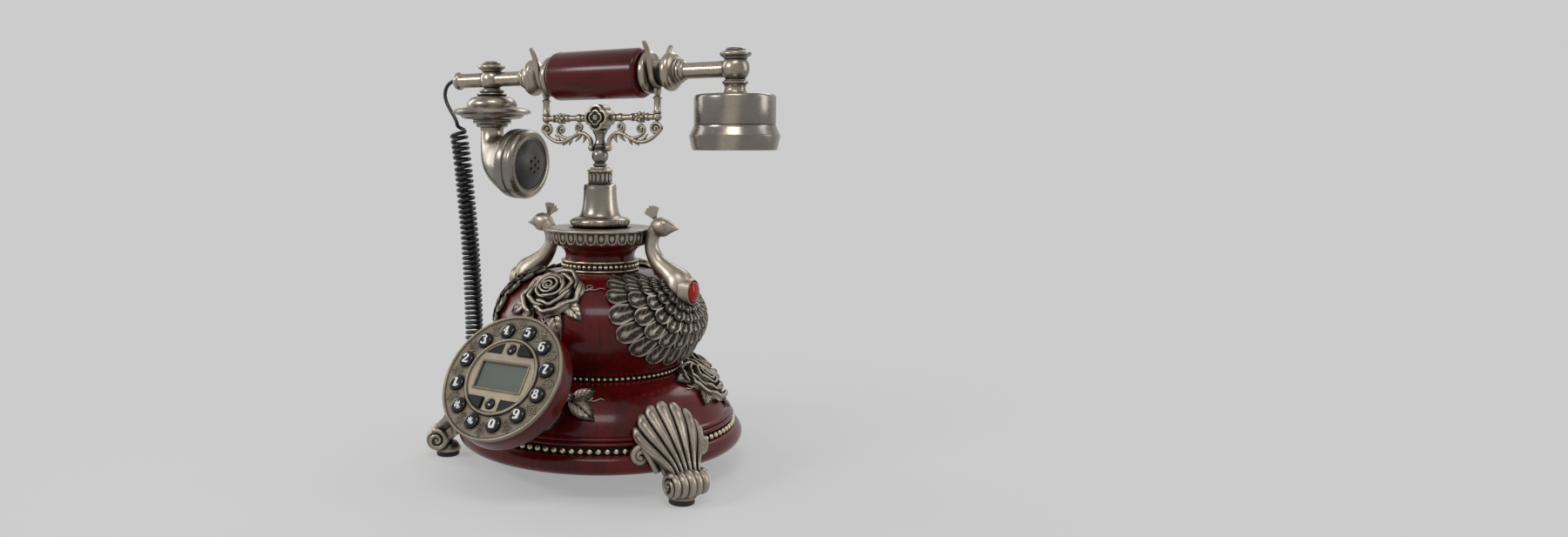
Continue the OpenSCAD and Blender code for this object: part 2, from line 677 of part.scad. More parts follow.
module ear_cap() {
    w = cup_r + 3.1;
    hole_ring = 6;
    color("#b4aa9b")
    translate([ear_x, 0, ear_cup_low - ear_cap_h]) difference() {
        turned([
            [0, 3.2], [cup_r - 6, 1.8], [cup_r - 3.4, 0], [cup_r, 0], [cup_r + 0.8, 0.8], [w - 0.2, 9.2],
            [w, 10], [w - 0.4, 10.8], [cup_r + 0.4, ear_cap_h - 1.4], [cup_r + 0.2, ear_cap_h],
            [0, ear_cap_h],
        ]);
        for (a = [0:60:300]) rotate(a) translate([hole_ring, 0, -1]) cylinder(h = 8, r = 1);
        translate([0, 0, -1]) cylinder(h = 8, r = 1);
    }
}

// ---------- dial ----------
// Works in the dial's own frame: z = 0 on the face, +Z out of it, +Y up the face
module at_dial() {
    translate([0, -dial_out, dial_z]) rotate([90 - dial_tilt, 0, 0]) children();
}
module base_cut(d) {
    turned(concat([[0, rim_z - 1]], base_profile(-d), [[0, waist_z + d]]));
}
module dial_housing() {
    color("#4a1210")
    difference() {
        at_dial() difference() {
            turned(concat(
                [[0, -60], [stem_r, -60], [stem_r, -stem_start]],
                [for (i = [1:6]) let (a = 15 * i)
                    [stem_r + (dial_core_r - stem_r) * (1 - cos(a)),
                     -stem_start + (stem_start - dial_rim - 4) * sin(a)]],
                [[dial_r - 1.4, -dial_rim - 1.6], [dial_r - 0.3, -dial_rim], [dial_r - 0.3, -plate_t],
                 [0, -plate_t]]
            ));
            translate([0, 0, board_z - 1.65]) cylinder(h = 20, r = dial_core_r);
            translate([0, 0, -80]) cylinder(h = 78, r = 6);
        }
        base_cut(0.02);
    }
}
number_keys = [
    ["key_0", 165], ["key_1", -105], ["key_2", -75], ["key_3", -45], ["key_4", -15], ["key_5", 15],
    ["key_6", 45], ["key_7", 75], ["key_8", 105], ["key_9", 135], ["key_star", -165], ["key_hash", -135],
];
function key_spot(a) = key_ring_r * [sin(a), cos(a)];
module dial_plate() {
    color("#a99f8c")
    at_dial() difference() {
        turned([
            [bezel_r - 1.2, 0.02 - plate_t], [dial_r - 0.6, 0.02 - plate_t], [dial_r, 0.8 - plate_t],
            [dial_r, 0.4], [dial_r - 0.7, 1.1], [dial_r - 1.6, 0.9], [dial_r - 2.2, 0], [bezel_r - 1.2, 0],
        ]);
        for (k = number_keys) translate(key_spot(k[1])) translate([0, 0, -plate_t - 1])
            cylinder(h = 8, d = key_d + 2 * key_gap);
    }
}
soft_r = bezel_r - 3.2;
soft_in_x = 6.6;
soft_low_y = lcd_h / 2 + 6.6;
round_y = soft_low_y + 3.6;
module soft_shape() {
    intersection() {
        circle(soft_r);
        translate([-18.6, soft_low_y]) square([18.6 - soft_in_x, 6.6]);
    }
}
// The four wedges and two round keys: sx and sy mirror the top left one into place
module centre_key_holes() {
    translate([0, 0, -20]) {
        for (sx = [-1, 1], sy = [-1, 1]) scale([sx, sy, 1]) linear_extrude(40)
            intersection() {
                circle(soft_r + key_gap);
                translate([-18.6 - key_gap, soft_low_y - key_gap])
                square([18.6 - soft_in_x + 2 * key_gap, 6.6 + 2 * key_gap]);
            }
        for (s = [-1, 1]) translate([0, s * round_y, 0])
            cylinder(h = 40, r = round_key_r + key_gap);
    }
}
module dial_bezel() {
    rim = 1.5;
    color("#a99f8c")
    at_dial() difference() {
        turned(concat(
            [[0, 0.02 - plate_t], [bezel_r - 1.25, 0.02 - plate_t], [bezel_r - 1.25, 0.02], [bezel_r, 0.02]],
            arc(bezel_r - 1.3, 0.5, 1.3, 0, 180, 8), [[bezel_r - 2.8, 0.4], [0, 0.4]]
        ));
        translate([-lcd_w / 2, -lcd_h / 2, -5]) cube([lcd_w, lcd_h, 10]);
        translate([-lcd_w / 2 - rim, -lcd_h / 2 - rim, -5]) cube([lcd_w + 2 * rim, lcd_h + 2 * rim, 4.2]);
        centre_key_holes();
    }
}
module lcd_window() {
    rim = 1.4;
    color("#7f8c86")
    at_dial() translate([-lcd_w / 2 - rim, -lcd_h / 2 - rim, 0.03 - plate_t])
        cube([lcd_w + 2 * rim, lcd_h + 2 * rim, plate_t - 0.9]);
}
module keypad_board() {
    color("#2f6b3c")
    at_dial() {
        translate([0, 0, board_z - 1.6]) cylinder(h = 1.6, r = dial_core_r - 0.4);
        translate([-lcd_w / 2 - 1, -lcd_h / 2 - 1, board_z]) cube([lcd_w + 2, lcd_h + 2, -board_z - plate_t]);
        for (k = number_keys) translate(key_spot(k[1])) translate([0, 0, board_z])
            cylinder(h = 0.25, d = key_shank_d - 3);
    }
}
key_foot_z = board_z + key_travel + 0.6;
module number_key(i) {
    color("#141414")
    at_dial() translate(key_spot(number_keys[i][1])) turned(concat(
        [[0, key_foot_z], [key_shank_d / 2 - 2, key_foot_z], [key_shank_d / 2 - 2, -plate_t - 1.7],
         [key_lip_d / 2, -plate_t - 1.7], [key_lip_d / 2, -plate_t - 0.3], [key_d / 2, -plate_t - 0.3],
         [key_d / 2, 1.4]],
        [for (j = [1:5]) let (a = 18 * j) [key_d / 2 * cos(a), 1.4 + (key_stand - 1.4) * sin(a)]]
    ));
}
module soft_key(sx, sy) {
    color("#141414")
    at_dial() scale([sx, sy, 1]) {
        translate([0, 0, -plate_t - 0.3]) linear_extrude(plate_t + 1.7) soft_shape();
        translate([-17.2, soft_low_y - 0.6, -plate_t - 1.5]) cube([17.2 - soft_in_x + 0.6, 5.4, 1.2]);
        translate([-11.5, soft_low_y + 2.4, key_foot_z]) cylinder(h = -plate_t - 1.5 - key_foot_z, r = 1.6);
    }
}
module round_key(s) {
    color("#141414")
    at_dial() translate([0, s * round_y, 0]) turned(concat(
        [[0, key_foot_z], [1.4, key_foot_z], [1.4, -plate_t - 1.5], [round_key_r + 1, -plate_t - 1.5],
         [round_key_r + 1, -plate_t - 0.3], [round_key_r, -plate_t - 0.3], [round_key_r, 1]],
        [for (j = [1:4]) let (a = 22.5 * j) [round_key_r * cos(a), 1 + 1.2 * sin(a)]]
    ));
}

// ---------- cast ornament ----------
// Castings reach this deep into the wall that they lie on, and are cut to it
root = 1.5;
module vase_cut(d) {
    turned(concat([[0, vase_z - 1]], vase_outline(d), [[0, vase_top_z]]));
}
gem_z = equator_z + 26.5;
gem_x = vase_radius(gem_z) + 17;
fan_rise = 11;
fan_span = 270;
fan_rows = [0.3, 0.46, 0.64, 0.82, 1];
// One point of the fan: rho outward, th from straight down, lift above the vase
function fan_point(rho, th, lift) = let (
    y = fan_w * rho * sin(th),
    z = min(gem_z - (abs(th) < 90 ? fan_drop : fan_rise) * rho * cos(th), vase_top_z - 1),
    r = vase_radius(z),
    a = asin(max(-0.97, min(0.97, y / r))),
    s = (z - equator_z) / (vase_top_z - equator_z),
    up = z > equator_z ? 55 * s : 30 * s)
    [(r + lift * cos(up)) * cos(a), (r + lift * cos(up)) * sin(a), z + lift * sin(up)];
function lobe(th, row) = let (f = th * fan_n / fan_span + (row % 2) / 2, g = f - floor(f))
    1 - pow(abs(2 * g - 1), 2.4);
module fan() {
    steps = 4 * fan_n;
    last = len(fan_rows) - 1;
    skin([for (i = [0:steps]) let (th = fan_span * (i / steps - 0.5)) concat(
        [fan_point(0.14, th, 5)],
        [for (row = [0:last]) let (
            edge = fan_rows[row] * (0.92 + 0.08 * lobe(th, row)), rise = 0.55 * (last - row),
            next = row == 0 ? 0.16 : fan_rows[row - 1] * (0.93 + 0.08 * lobe(th, row - 1)))
            each [fan_point(next + 0.012, th, 1.3 + rise), fan_point(edge, th, 2.1 + rise)]],
        [for (rho = [0.98 * (0.92 + 0.08 * lobe(th, last)), 0.76, 0.58, 0.42, 0.28, 0.14])
            fan_point(rho, th, -root)]
    )]);
}
module neck_and_head() {
    h = gem_z;
    path = [[gem_x - 15, 0, h - 13], [gem_x - 14, 0, h - 7], [gem_x - 13.4, 0, h], [gem_x - 15, 0, h + 6],
        [gem_x - 21, 0, h + 11.5], [gem_x - 29.7, 0, h + 19], [gem_x - 34.8, 0, h + 27.5],
        [gem_x - 35.2, 0, h + 36], [gem_x - 31.6, 0, h + 43.6], [gem_x - 26, 0, h + 45],
        [gem_x - 21, 0, h + 44.6], [gem_x - 18, 0, h + 44.2], [gem_x - 14.6, 0, h + 43.6]];
    radii = [3, 9.5, 12, 11, 8.2, 6.2, 5.3, 5.2, 6.6, 6.6, 4.4, 2, 0.5];
    skin(tube_rings(path, radii, [0, 1, 0], 12));
}
// Five plumes that stand up and back from the crown
module crest() {
    for (i = [-2:2]) translate([gem_x - 37, 0, gem_z + 48]) rotate([0, 20 * i - 14, 0]) hull() {
        cube([1.6, 1.4, 1.6], center = true);
        translate([0, 0, 9]) cube([2.6, 1.4, 1.6], center = true);
    }
}
module gem_seat() {
    hull() {
        translate([gem_x - 5, 0, gem_z]) rotate([0, 90, 0]) cylinder(h = 4, r = gem_r + 1.3, $fn = 24);
        translate([gem_x - 9, 0, gem_z]) rotate([0, 90, 0]) cylinder(h = 1, r = gem_r + 3, $fn = 24);
    }
}
module peacock(side) {
    color("#a2988a")
    scale([side, 1, 1]) difference() {
        union() {
            fan();
            neck_and_head();
            crest();
            gem_seat();
        }
        vase_cut(seat);
        translate([0, 0, flare_top_z - 1]) cylinder(h = flange_h + 1.2, r = flange_r + seat);
        translate([gem_x - 2.8, 0, gem_z]) rotate([0, 90, 0]) cylinder(h = 12, r = gem_r + 0.1, $fn = 48);
    }
}
module peacock_left() { peacock(-1); }
module peacock_right() { peacock(1); }
module gems() {
    color("#b01018")
    for (s = [-1, 1]) scale([s, 1, 1]) translate([gem_x - 2.7, 0, gem_z]) rotate([0, 90, 0])
        turned(concat([[0, 0], [gem_r, 0], [gem_r, 1.2]],
            [for (i = [1:5]) [gem_r * cos(18 * i), 1.2 + 3 * sin(18 * i)]]));
}
// A rose lying in the XY plane, opening upward: layers of five petals, each half a petal on
module rose(r, h, layers, n, deep = 0) {
    step = 0.88 / layers;
    function crown(l, a) = 1 + 0.04 * cos(5 * (a + 36 * l)) - 0.07 * pow(cos(2.5 * (a + 36 * l)), 8);
    function band(l, f, z) = [for (k = [0:n - 1]) let (a = -360 * k / n, q = r * f * crown(l, a))
        [q * cos(a), q * sin(a), z + 0.05 * h * cos(5 * (a + 36 * l))]];
    skin(concat(
        [band(0, 0.05, 0.94 * h), band(0, 0.11, h)],
        [for (l = [0:layers - 1]) let (f = 0.16 + step * l, z = h * (0.84 - 0.68 * l / layers))
            each [band(l, f - 0.02, z - 0.16 * h), band(l + 1, f + 0.77 * step, z + 0.04 * h)]],
        [band(layers, 0.9, 0.12 * h)],
        [let (foot = deep > 0 ? 0.84 : 0.3) [for (k = [0:n - 1]) let (a = -360 * k / n)
            [foot * r * cos(a), foot * r * sin(a), -deep]]]
    ));
}
// A leaf along +X, with its back at z = -deep
module leaf(l, w, deep = 0) {
    rib = 1.5;
    outline = [for (i = [0:4]) let (t = i / 4) [l * t, w / 2 * sin(180 * pow(t, 0.8))]];
    skin([for (i = [0:4]) let (x = outline[i][0], y = max(outline[i][1], 0.25))
        [[x, -y, -deep], [x, y, -deep], [x, y, 0.5], [x, 0.35 * y, rib], [x, -0.35 * y, rib], [x, -y, 0.5]]]);
}
// Leaves round a rose, from under its petals, each tipped down towards the curved wall
module leaves(angles, out, l, w, drop) {
    for (a = angles) rotate(a) translate([out, 0, -drop]) rotate([0, 22, 0]) leaf(l, w, 2 * root);
}
module rose_spray(r, h, angles, n) {
    rose(r, h, 4, n, 4 * root);
    leaves(angles, 0.78 * r, 0.72 * r, 0.46 * r, 2.1);
}
vase_rose_z = equator_z + 30;
vase_rose_tip = let (a = asin((vase_rose_z - equator_z) / (vase_top_z - equator_z)))
    atan2(sin(a) / (vase_top_z - equator_z), cos(a) / (vase_r - shoulder_r));
module vase_roses() {
    color("#b0a58f")
    for (a = [-90, 90]) rotate(a) difference() {
        translate([vase_radius(vase_rose_z), 0, vase_rose_z]) rotate([0, 90 - vase_rose_tip, 0])
        translate([0, 0, 2 * seat]) rotate(90) rose_spray(vase_rose_r, 10, [-160, -125, -55, -20], 20);
        vase_cut(seat);
        translate([0, 0, vase_top_z - 1]) cylinder(h = band_h + 1, r = band_r + seat);
    }
}
base_rose_t = 0.6;
base_rose_tip = let (a = dome_point(base_rose_t - 0.05), b = dome_point(base_rose_t + 0.05))
    atan2(a[0] - b[0], b[1] - a[1]);
module on_dome(angle) {
    p = dome_point(base_rose_t);
    rotate(angle) translate([p[0], 0, p[1]]) rotate([0, 90 - base_rose_tip, 0])
        translate([0, 0, 4 * seat]) rotate(90) children();
}
module base_roses() {
    color("#b0a58f") difference() {
        union() {
            for (a = [14, 166]) on_dome(a)
                rose_spray(base_rose_r, 9, a < 90 ? [190, 225, 100] : [-10, -45, 80], 15);
            for (a = [49, 131]) on_dome(a)
                rose_spray(base_rose_r, 9, a < 90 ? [-15, -50, 80] : [195, 230, 100], 15);
            at_dial() for (a = [15, 90, 165]) rotate(a)
                translate([stem_r + seat, 0, -stem_start - 5]) rotate([0, 90, 0]) rotate(90)
                rose(8, 7, 2, 10);
            at_dial() for (a = [52, 128, -22, 202]) rotate(a)
                translate([stem_r + 1, 0, -stem_start - 8]) rotate([0, 60, 0]) leaf(12, 8);
        }
        base_cut(seat / 3);
        translate([0, 0, waist_z - 1])
        cylinder(h = 2 * small_bead_r + 1.2, r = small_bead_reach + seat);
    }
}
// ---------- legs ----------
flutes_per_leg = 7;
// Radius of the base's outside at the height z
base_table = [[rim_z, rim_r], [rim_top, rim_r - 4], [ledge_z, ledge_r], [dome_z, dome_r],
    [dome_point(0.25)[1], dome_point(0.25)[0]], [dome_point(0.5)[1], dome_point(0.5)[0]],
    [dome_point(0.75)[1], dome_point(0.75)[0]]];
module flute(f) {
    side = leg_w / 2 - 4.5;
    y = side * sin(82 * f);
    z = leg_top_z - 24 + 21 * cos(82 * f);
    x = sqrt(pow(lookup(z, base_table) + 2.5, 2) - y * y);
    top = [x, y, z];
    foot = [roll_out - 4, f * (roll_w / 2 - 2.6), roll_z + 2];
    path = [for (i = [0:4]) bez([foot, foot + [-3, f * 1.5, 12], top + [10, 0, -9], top], i / 4)];
    skin(tube_rings(path, [2.4, 3.1, 3.9, 4.8, 3.2], [0, 1, 0], 6));
}
module roll() {
    groove = 1.1;
    step = roll_w / 5;
    translate([roll_out, roll_w / 2, roll_z]) rotate([90, 0, 0])
        rotate_extrude($fn = 16) polygon(concat([[0, 0]],
            [for (i = [0:4]) each [[roll_r - groove, i * step + 0.2], [roll_r, (i + 0.5) * step],
                [roll_r - groove, (i + 1) * step - 0.2]]],
            [[0, roll_w]]));
}
module pair(x, y, z, r) {
    for (s = [-1, 1]) translate([x, s * y, z]) sphere(r, $fn = 6);
}
module leg_core() {
    hull() {
        pair(roll_out, roll_w / 2 - 4, roll_z, roll_r - 2.6);
        pair(rim_r, roll_w / 2 - 1, rim_top, 3);
        pair(rim_r - 2, 9, roll_z, 3);
    }
    hull() {
        pair(rim_r, roll_w / 2 - 1, rim_top, 3);
        pair(ledge_r, leg_w / 2 - 10, ledge_z + 3, 3);
        translate([dome_point(0.4)[0], 0, dome_point(0.4)[1]]) sphere(4, $fn = 8);
    }
}
module side_volute() {
    translate([rim_r - 3, 0, rim_top - 1]) rotate([0, 90, 0]) {
        cylinder(h = 5.6, r = 4.4, $fn = 14);
        translate([-1, 1.2, 0]) cylinder(h = 6.6, r = 1.8, $fn = 8);
    }
}
// A plainer outside than the base's own, for the backs of the legs
module leg_cut() {
    cylinder(h = rim_top - 0.8, r = rim_r + seat);
    cylinder(h = dome_z, r = ledge_r + seat + 0.1);
    cylinder(h = big_bead_z + big_bead_r + 0.4, r = big_bead_reach + seat);
    base_cut_top();
}
module base_cut_top() {
    turned(concat([[0, dome_z - 1], [dome_r + seat, dome_z - 1]],
        [for (i = [0:5]) dome_point(i / 5) + [seat + 0.2, 0]], [[0, waist_z]]));
}
module leg(angle) {
    color("#a2988a")
    rotate(angle) difference() {
        union() {
            for (i = [0:flutes_per_leg - 1]) flute(2 * i / (flutes_per_leg - 1) - 1);
            roll();
            leg_core();
            for (s = [-1, 1]) scale([1, s, 1]) rotate(leg_w * 0.27) side_volute();
        }
        leg_cut();
        translate([0, 0, pad_h - 20]) cylinder(h = 20, r = 200, $fn = 8);
    }
}
module leg_front_left() { leg(leg_angles[0]); }
module leg_front_right() { leg(leg_angles[1]); }
module leg_rear() { leg(leg_angles[2]); }
module foot_pads() {
    color("#161616")
    for (a = leg_angles) rotate(a) translate([foot_out, 0, 0])
        cylinder(h = pad_h, r = pad_r);
}

// ---------- inside and cord ----------
module line_board() {
    color("#2f6b3c")
    translate([-34, -30, rim_z + plate_h]) {
        for (x = [6, 62], y = [6, 54]) translate([x, y, 0]) cylinder(h = 5, r = 3);
        translate([0, 0, 5]) cube([68, 60, 1.6]);
        translate([24, 20, 6.6]) cube([20, 14, 12]);
    }
}
module line_jack() {
    wall = 1.5;
    color("#1c1c1c")
    translate([0, jack_y, rim_z + plate_h]) difference() {
        translate([-jack_w / 2 - wall, -jack_h / 2 - wall, 0])
        cube([jack_w + 2 * wall, jack_h + 2 * wall, jack_depth]);
        translate([-jack_w / 2, -jack_h / 2, -1]) cube([jack_w, jack_h, jack_depth - 1]);
    }
}
bush_z = rim_z + rim_round;
bush_in = rim_r - rim_round - shell_wall - 1;
bush_r = 3.4;
bush_out = rim_r + 2.4;
module cord_bush() {
    color("#141414")
    translate([-bush_in, 0, bush_z]) rotate([0, -90, 0]) turned([
        [0, 0], [bush_r, 0], [bush_r, rim_r - bush_in + 0.1], [bush_r + 1.2, rim_r - bush_in + 0.6],
        [bush_r, bush_out - bush_in], [0, bush_out - bush_in],
    ]);
}
// The cord's route in the XZ plane: from the tube's end, round its loop and down to the bush.
// The lead is its first stretch, and the curls wind round the rest.
cord_route = [
    [-tube_end_x, 0, axis_z], [-138, 0, axis_z], [-143.5, 0, 277], [-145.8, 0, 271], [-144.5, 0, 265],
    [-141, 0, 259], [-137, 0, 253.5], [-134, 0, 248], [-132.6, 0, 241], [-131, 0, 232], [-128, 0, 212],
    [-125, 0, 184], [-122, 0, 153], [-120, 0, 120], [-119, 0, 86], [-119, 0, 54], [-119, 0, 38],
    [-117.6, 0, 29], [-112.5, 0, bush_z], [-bush_out, 0, bush_z],
];
lead_n = 7;
first_curl = 8.2;
last_curl = 16;
route_end = len(cord_route) - 1;
function route_at(u) = let (
    i = min(floor(u), route_end - 1), t = u - i,
    a = cord_route[max(i - 1, 0)], b = cord_route[i], c = cord_route[i + 1],
    d = cord_route[min(i + 2, route_end)])
    0.5 * (2 * b + (c - a) * t + (2 * a - 5 * b + 4 * c - d) * t * t + (3 * b - a - 3 * c + d) * t * t * t);
function heading(u) = unit(route_at(min(u + 0.02, route_end)) - route_at(max(u - 0.02, 0)));
// Length along the route at each of its points, to space the curls evenly
function run(i) = i == 0 ? 0 : run(i - 1) + norm(cord_route[i] - cord_route[i - 1]);
run_table = [for (i = [0:route_end]) [run(i), i]];
place_table = [for (i = [0:route_end]) [i, run(i)]];
curl_from = lookup(first_curl, place_table);
curl_to = lookup(last_curl, place_table);
curl_r = (curl_d - wire_d) / 2;
// f runs from 0 to 1 along the curls, which close up a little towards the bottom
function curl_phase(f) = 360 * curls * (0.92 * f + 0.08 * f * f);
function curl_point(u, f, r) = let (
    t = heading(u), e2 = [0, 1, 0], e1 = cross(e2, t), a = 180 + curl_phase(f))
    [route_at(u) + r * (cos(a) * e1 + sin(a) * e2), cos(a) * e1 + sin(a) * e2];
curl_steps = curls * 8;
coil_points = concat(
    [for (i = [0:3])
        curl_point(lead_n + (first_curl - lead_n) * i / 4, 0, curl_r * (i < 2 ? 0 : (i - 1) / 3))],
    [for (i = [0:curl_steps]) let (f = i / curl_steps, s = curl_from + (curl_to - curl_from) * f)
        curl_point(lookup(s, run_table), f, curl_r)],
    [for (i = [1:8]) let (f = i / 8) curl_point(last_curl + (route_end - last_curl) * f, 1,
        curl_r * max(0, 1 - f * 1.5))]
);
least_gap = min([for (i = [4:curl_steps - 16]) for (j = [i + 5:i + 13])
    norm(coil_points[i][0] - coil_points[j][0])]) - wire_d;
module cord_lead() {
    echo(least_gap_between_curls = least_gap);
    color("#141414")
    skin([for (i = [0:2 * lead_n])
        ring(route_at(i / 2), heading(i / 2), [0, 1, 0], wire_d / 2, wire_d / 2, 8)]);
}
module cord_coil() {
    last = len(coil_points) - 1;
    way = [for (p = coil_points) p[0]];
    color("#141414")
    skin([for (i = [0:last]) ring(way[i], i == 0 ? heading(lead_n) : i == last ? [1, 0, 0] : along(way, i),
        coil_points[i][1], wire_d / 2, wire_d / 2, 6)]);
}

// ---------- pieces ----------
base_shell();
bottom_plate();
bottom_screws();
base_bead_ring();
waist_bead_ring();
vase_shell();
neck_bead_band();
scallop_flange();
pedestal_bell();
fluted_collar();
leg_front_left();
leg_front_right();
leg_rear();
foot_pads();
peacock_left();
peacock_right();
gems();
vase_roses();
base_roses();
line_board();
hook_spring();
line_jack();
cord_bush();
dial_housing();
dial_plate();
dial_bezel();
lcd_window();
keypad_board();
number_key(0);  // key_0
number_key(1);  // key_1
number_key(2);  // key_2
number_key(3);  // key_3
number_key(4);  // key_4
number_key(5);  // key_5
number_key(6);  // key_6
number_key(7);  // key_7
number_key(8);  // key_8
number_key(9);  // key_9
number_key(10);  // key_star
number_key(11);  // key_hash
soft_key(1, 1);  // soft_key_top_left
soft_key(-1, 1);  // soft_key_top_right
soft_key(1, -1);  // soft_key_bottom_left
soft_key(-1, -1);  // soft_key_bottom_right
round_key(1);  // round_key_top
round_key(-1);  // round_key_bottom
cradle_post();
cradle_bar();
cradle_scrolls();
cradle_forks();
grip();
handle_tube();
mouth_stack();
mouth_horn();
mouth_face();
ear_stack();
ear_cup();
ear_cap();
cord_lead();
cord_coil();
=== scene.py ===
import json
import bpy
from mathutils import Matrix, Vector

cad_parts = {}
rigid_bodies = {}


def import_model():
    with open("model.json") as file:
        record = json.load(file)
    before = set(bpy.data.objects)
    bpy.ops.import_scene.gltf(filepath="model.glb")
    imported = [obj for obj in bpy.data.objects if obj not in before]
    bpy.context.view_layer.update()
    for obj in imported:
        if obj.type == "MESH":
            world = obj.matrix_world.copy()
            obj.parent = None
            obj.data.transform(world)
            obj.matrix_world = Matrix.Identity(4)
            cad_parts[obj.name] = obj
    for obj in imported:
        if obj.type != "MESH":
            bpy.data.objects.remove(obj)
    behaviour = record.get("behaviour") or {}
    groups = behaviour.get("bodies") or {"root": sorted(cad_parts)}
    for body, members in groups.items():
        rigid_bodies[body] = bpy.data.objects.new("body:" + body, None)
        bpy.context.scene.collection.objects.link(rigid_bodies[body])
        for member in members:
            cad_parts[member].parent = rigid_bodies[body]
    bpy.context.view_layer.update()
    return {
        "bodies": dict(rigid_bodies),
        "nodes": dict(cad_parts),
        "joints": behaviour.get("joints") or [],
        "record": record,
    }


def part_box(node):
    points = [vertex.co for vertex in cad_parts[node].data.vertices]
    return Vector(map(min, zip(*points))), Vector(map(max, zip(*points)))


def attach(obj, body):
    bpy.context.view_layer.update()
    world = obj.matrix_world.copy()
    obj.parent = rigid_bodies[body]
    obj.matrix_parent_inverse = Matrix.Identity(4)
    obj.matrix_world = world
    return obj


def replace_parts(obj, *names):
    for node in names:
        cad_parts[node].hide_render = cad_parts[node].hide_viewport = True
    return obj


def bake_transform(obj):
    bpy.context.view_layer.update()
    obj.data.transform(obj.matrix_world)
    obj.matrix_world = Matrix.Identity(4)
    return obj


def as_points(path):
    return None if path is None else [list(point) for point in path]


bl_info = {"name": "Ornate Cradle Telephone", "version": (1, 0, 0), "blender": (4, 5, 0),
    "location": "View3D > Sidebar > Telephone",
    "description": "Dresses the cradle telephone's fixed frame with its castings, lacquer, keys and cord",
    "category": "Object"}

from math import acos, asin, copysign, cos, exp, hypot, pi, radians, sin, sqrt, tau

import bmesh
import bpy
from bpy.props import FloatProperty, FloatVectorProperty, IntProperty, PointerProperty
from mathutils import Matrix, Vector

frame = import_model()
NODES = frame["nodes"]
MM = 0.001


def low(node):
    return Vector(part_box(node)[0]) / MM


def high(node):
    return Vector(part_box(node)[1]) / MM


def middle(node):
    return (low(node) + high(node)) / 2


# Heights and places that the frame fixes
AXIS_Z = middle("grip").z
GRIP_HALF = high("grip").x
BAR_Z = middle("cradle_bar").z
FLANGE_TOP = high("scallop_flange").z
FLANGE_LOW = low("scallop_flange").z
FLANGE_R = high("scallop_flange").x
WAIST_Z = low("waist_bead_ring").z
VASE_LOW = low("vase_shell").z
VASE_TOP = low("neck_bead_band").z - 0.1
VASE_R = high("vase_shell").x
RIM_R = high("base_shell").x
RIM_Z = low("base_shell").z


# ---------- mesh tools, all in millimetres ----------
WELD = 0.001


def finish_mesh(bm, weld=WELD, outward=True):
    """Merges doubles, then turns every shell's faces outward."""
    bmesh.ops.remove_doubles(bm, verts=bm.verts, dist=weld)
    bmesh.ops.dissolve_degenerate(bm, edges=bm.edges, dist=weld / 4)
    if outward:
        bmesh.ops.recalc_face_normals(bm, faces=bm.faces)


def linked(name, data):
    """Links new data to the scene as an object."""
    item = bpy.data.objects.new(name, data)
    bpy.context.scene.collection.objects.link(item)
    return item


def make_piece(name, bm, body, finish, sharp=38):
    """Links the mesh as a piece that rides on a body, shaded smooth up to the sharp angle."""
    bmesh.ops.scale(bm, vec=(MM, MM, MM), verts=bm.verts)
    mesh = bpy.data.meshes.new(name)
    bm.to_mesh(mesh)
    bm.free()
    mesh.shade_smooth()
    mesh.set_sharp_from_angle(angle=radians(sharp))
    mesh.materials.append(finishes[finish])
    piece = linked(name, mesh)
    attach(piece, body)
    return piece


def stand_in(title, bm, node, finish, sharp=38, body="base"):
    """Makes a piece that takes the place of a node of the frame."""
    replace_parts(make_piece(title, bm, body, finish, sharp), node)


def spin_profile(bm, profile, steps=96, at=None):
    """Turns (radius, height) points round Z into a closed shell, then places it."""
    part = bmesh.new()
    verts = [part.verts.new((r, 0, z)) for r, z in profile]
    edges = [part.edges.new(pair) for pair in zip(verts, verts[1:])]
    bmesh.ops.spin(part, geom=verts + edges, cent=(0, 0, 0), axis=(0, 0, 1), dvec=(0, 0, 0), angle=tau,
        steps=steps, use_merge=True, use_duplicate=False)
    finish_mesh(part)
    join(bm, part, at)


def turned(title, profile, steps, node, finish, sharp=38, body="base", at=None):
    """Spins one profile into a piece that takes the place of a node."""
    bm = bmesh.new()
    spin_profile(bm, profile, steps, at)
    stand_in(title, bm, node, finish, sharp, body)


def in_patina(bm, depth=1.0):
    """Marks every point of the bmesh as lying in the patina."""
    layer = bm.verts.layers.float.get("sunk") or bm.verts.layers.float.new("sunk")
    for vert in bm.verts:
        vert[layer] = depth


def place(bm, at):
    bmesh.ops.transform(bm, matrix=at, verts=bm.verts)


def close(bm):
    """Fills the open ends of a shell and turns its faces outward."""
    bmesh.ops.holes_fill(bm, edges=[e for e in bm.edges if e.is_boundary], sides=0)
    bmesh.ops.recalc_face_normals(bm, faces=bm.faces)
    if bm.calc_volume(signed=True) < 0:
        bmesh.ops.reverse_faces(bm, faces=bm.faces)


def join(bm, part, at=None):
    """Adds another bmesh, moved by a matrix, and frees it."""
    if at is not None:
        place(part, at)
        if at.determinant() < 0:
            bmesh.ops.reverse_faces(part, faces=part.faces)
    mesh = bpy.data.meshes.new("join")
    part.to_mesh(mesh)
    part.free()
    bm.from_mesh(mesh)
    bpy.data.meshes.remove(mesh)


def patch(nu, nv, shape):
    """A grid of nu by nv cells whose points go through shape(u, v), with u and v from 0 to 1."""
    bm = bmesh.new()
    bmesh.ops.create_grid(bm, x_segments=nu, y_segments=nv, size=1)
    layer = bm.loops.layers.uv.new("UVMap")
    for face in bm.faces:
        for loop in face.loops:
            loop[layer].uv = (loop.vert.co.x + 1) / 2, (loop.vert.co.y + 1) / 2
    for vert in bm.verts:
        vert.co = shape((vert.co.x + 1) / 2, (vert.co.y + 1) / 2)
    return bm


def ball(bm, radius, at, across=12, rings=8):
    bmesh.ops.create_uvsphere(bm, u_segments=across, v_segments=rings, radius=radius, matrix=at)


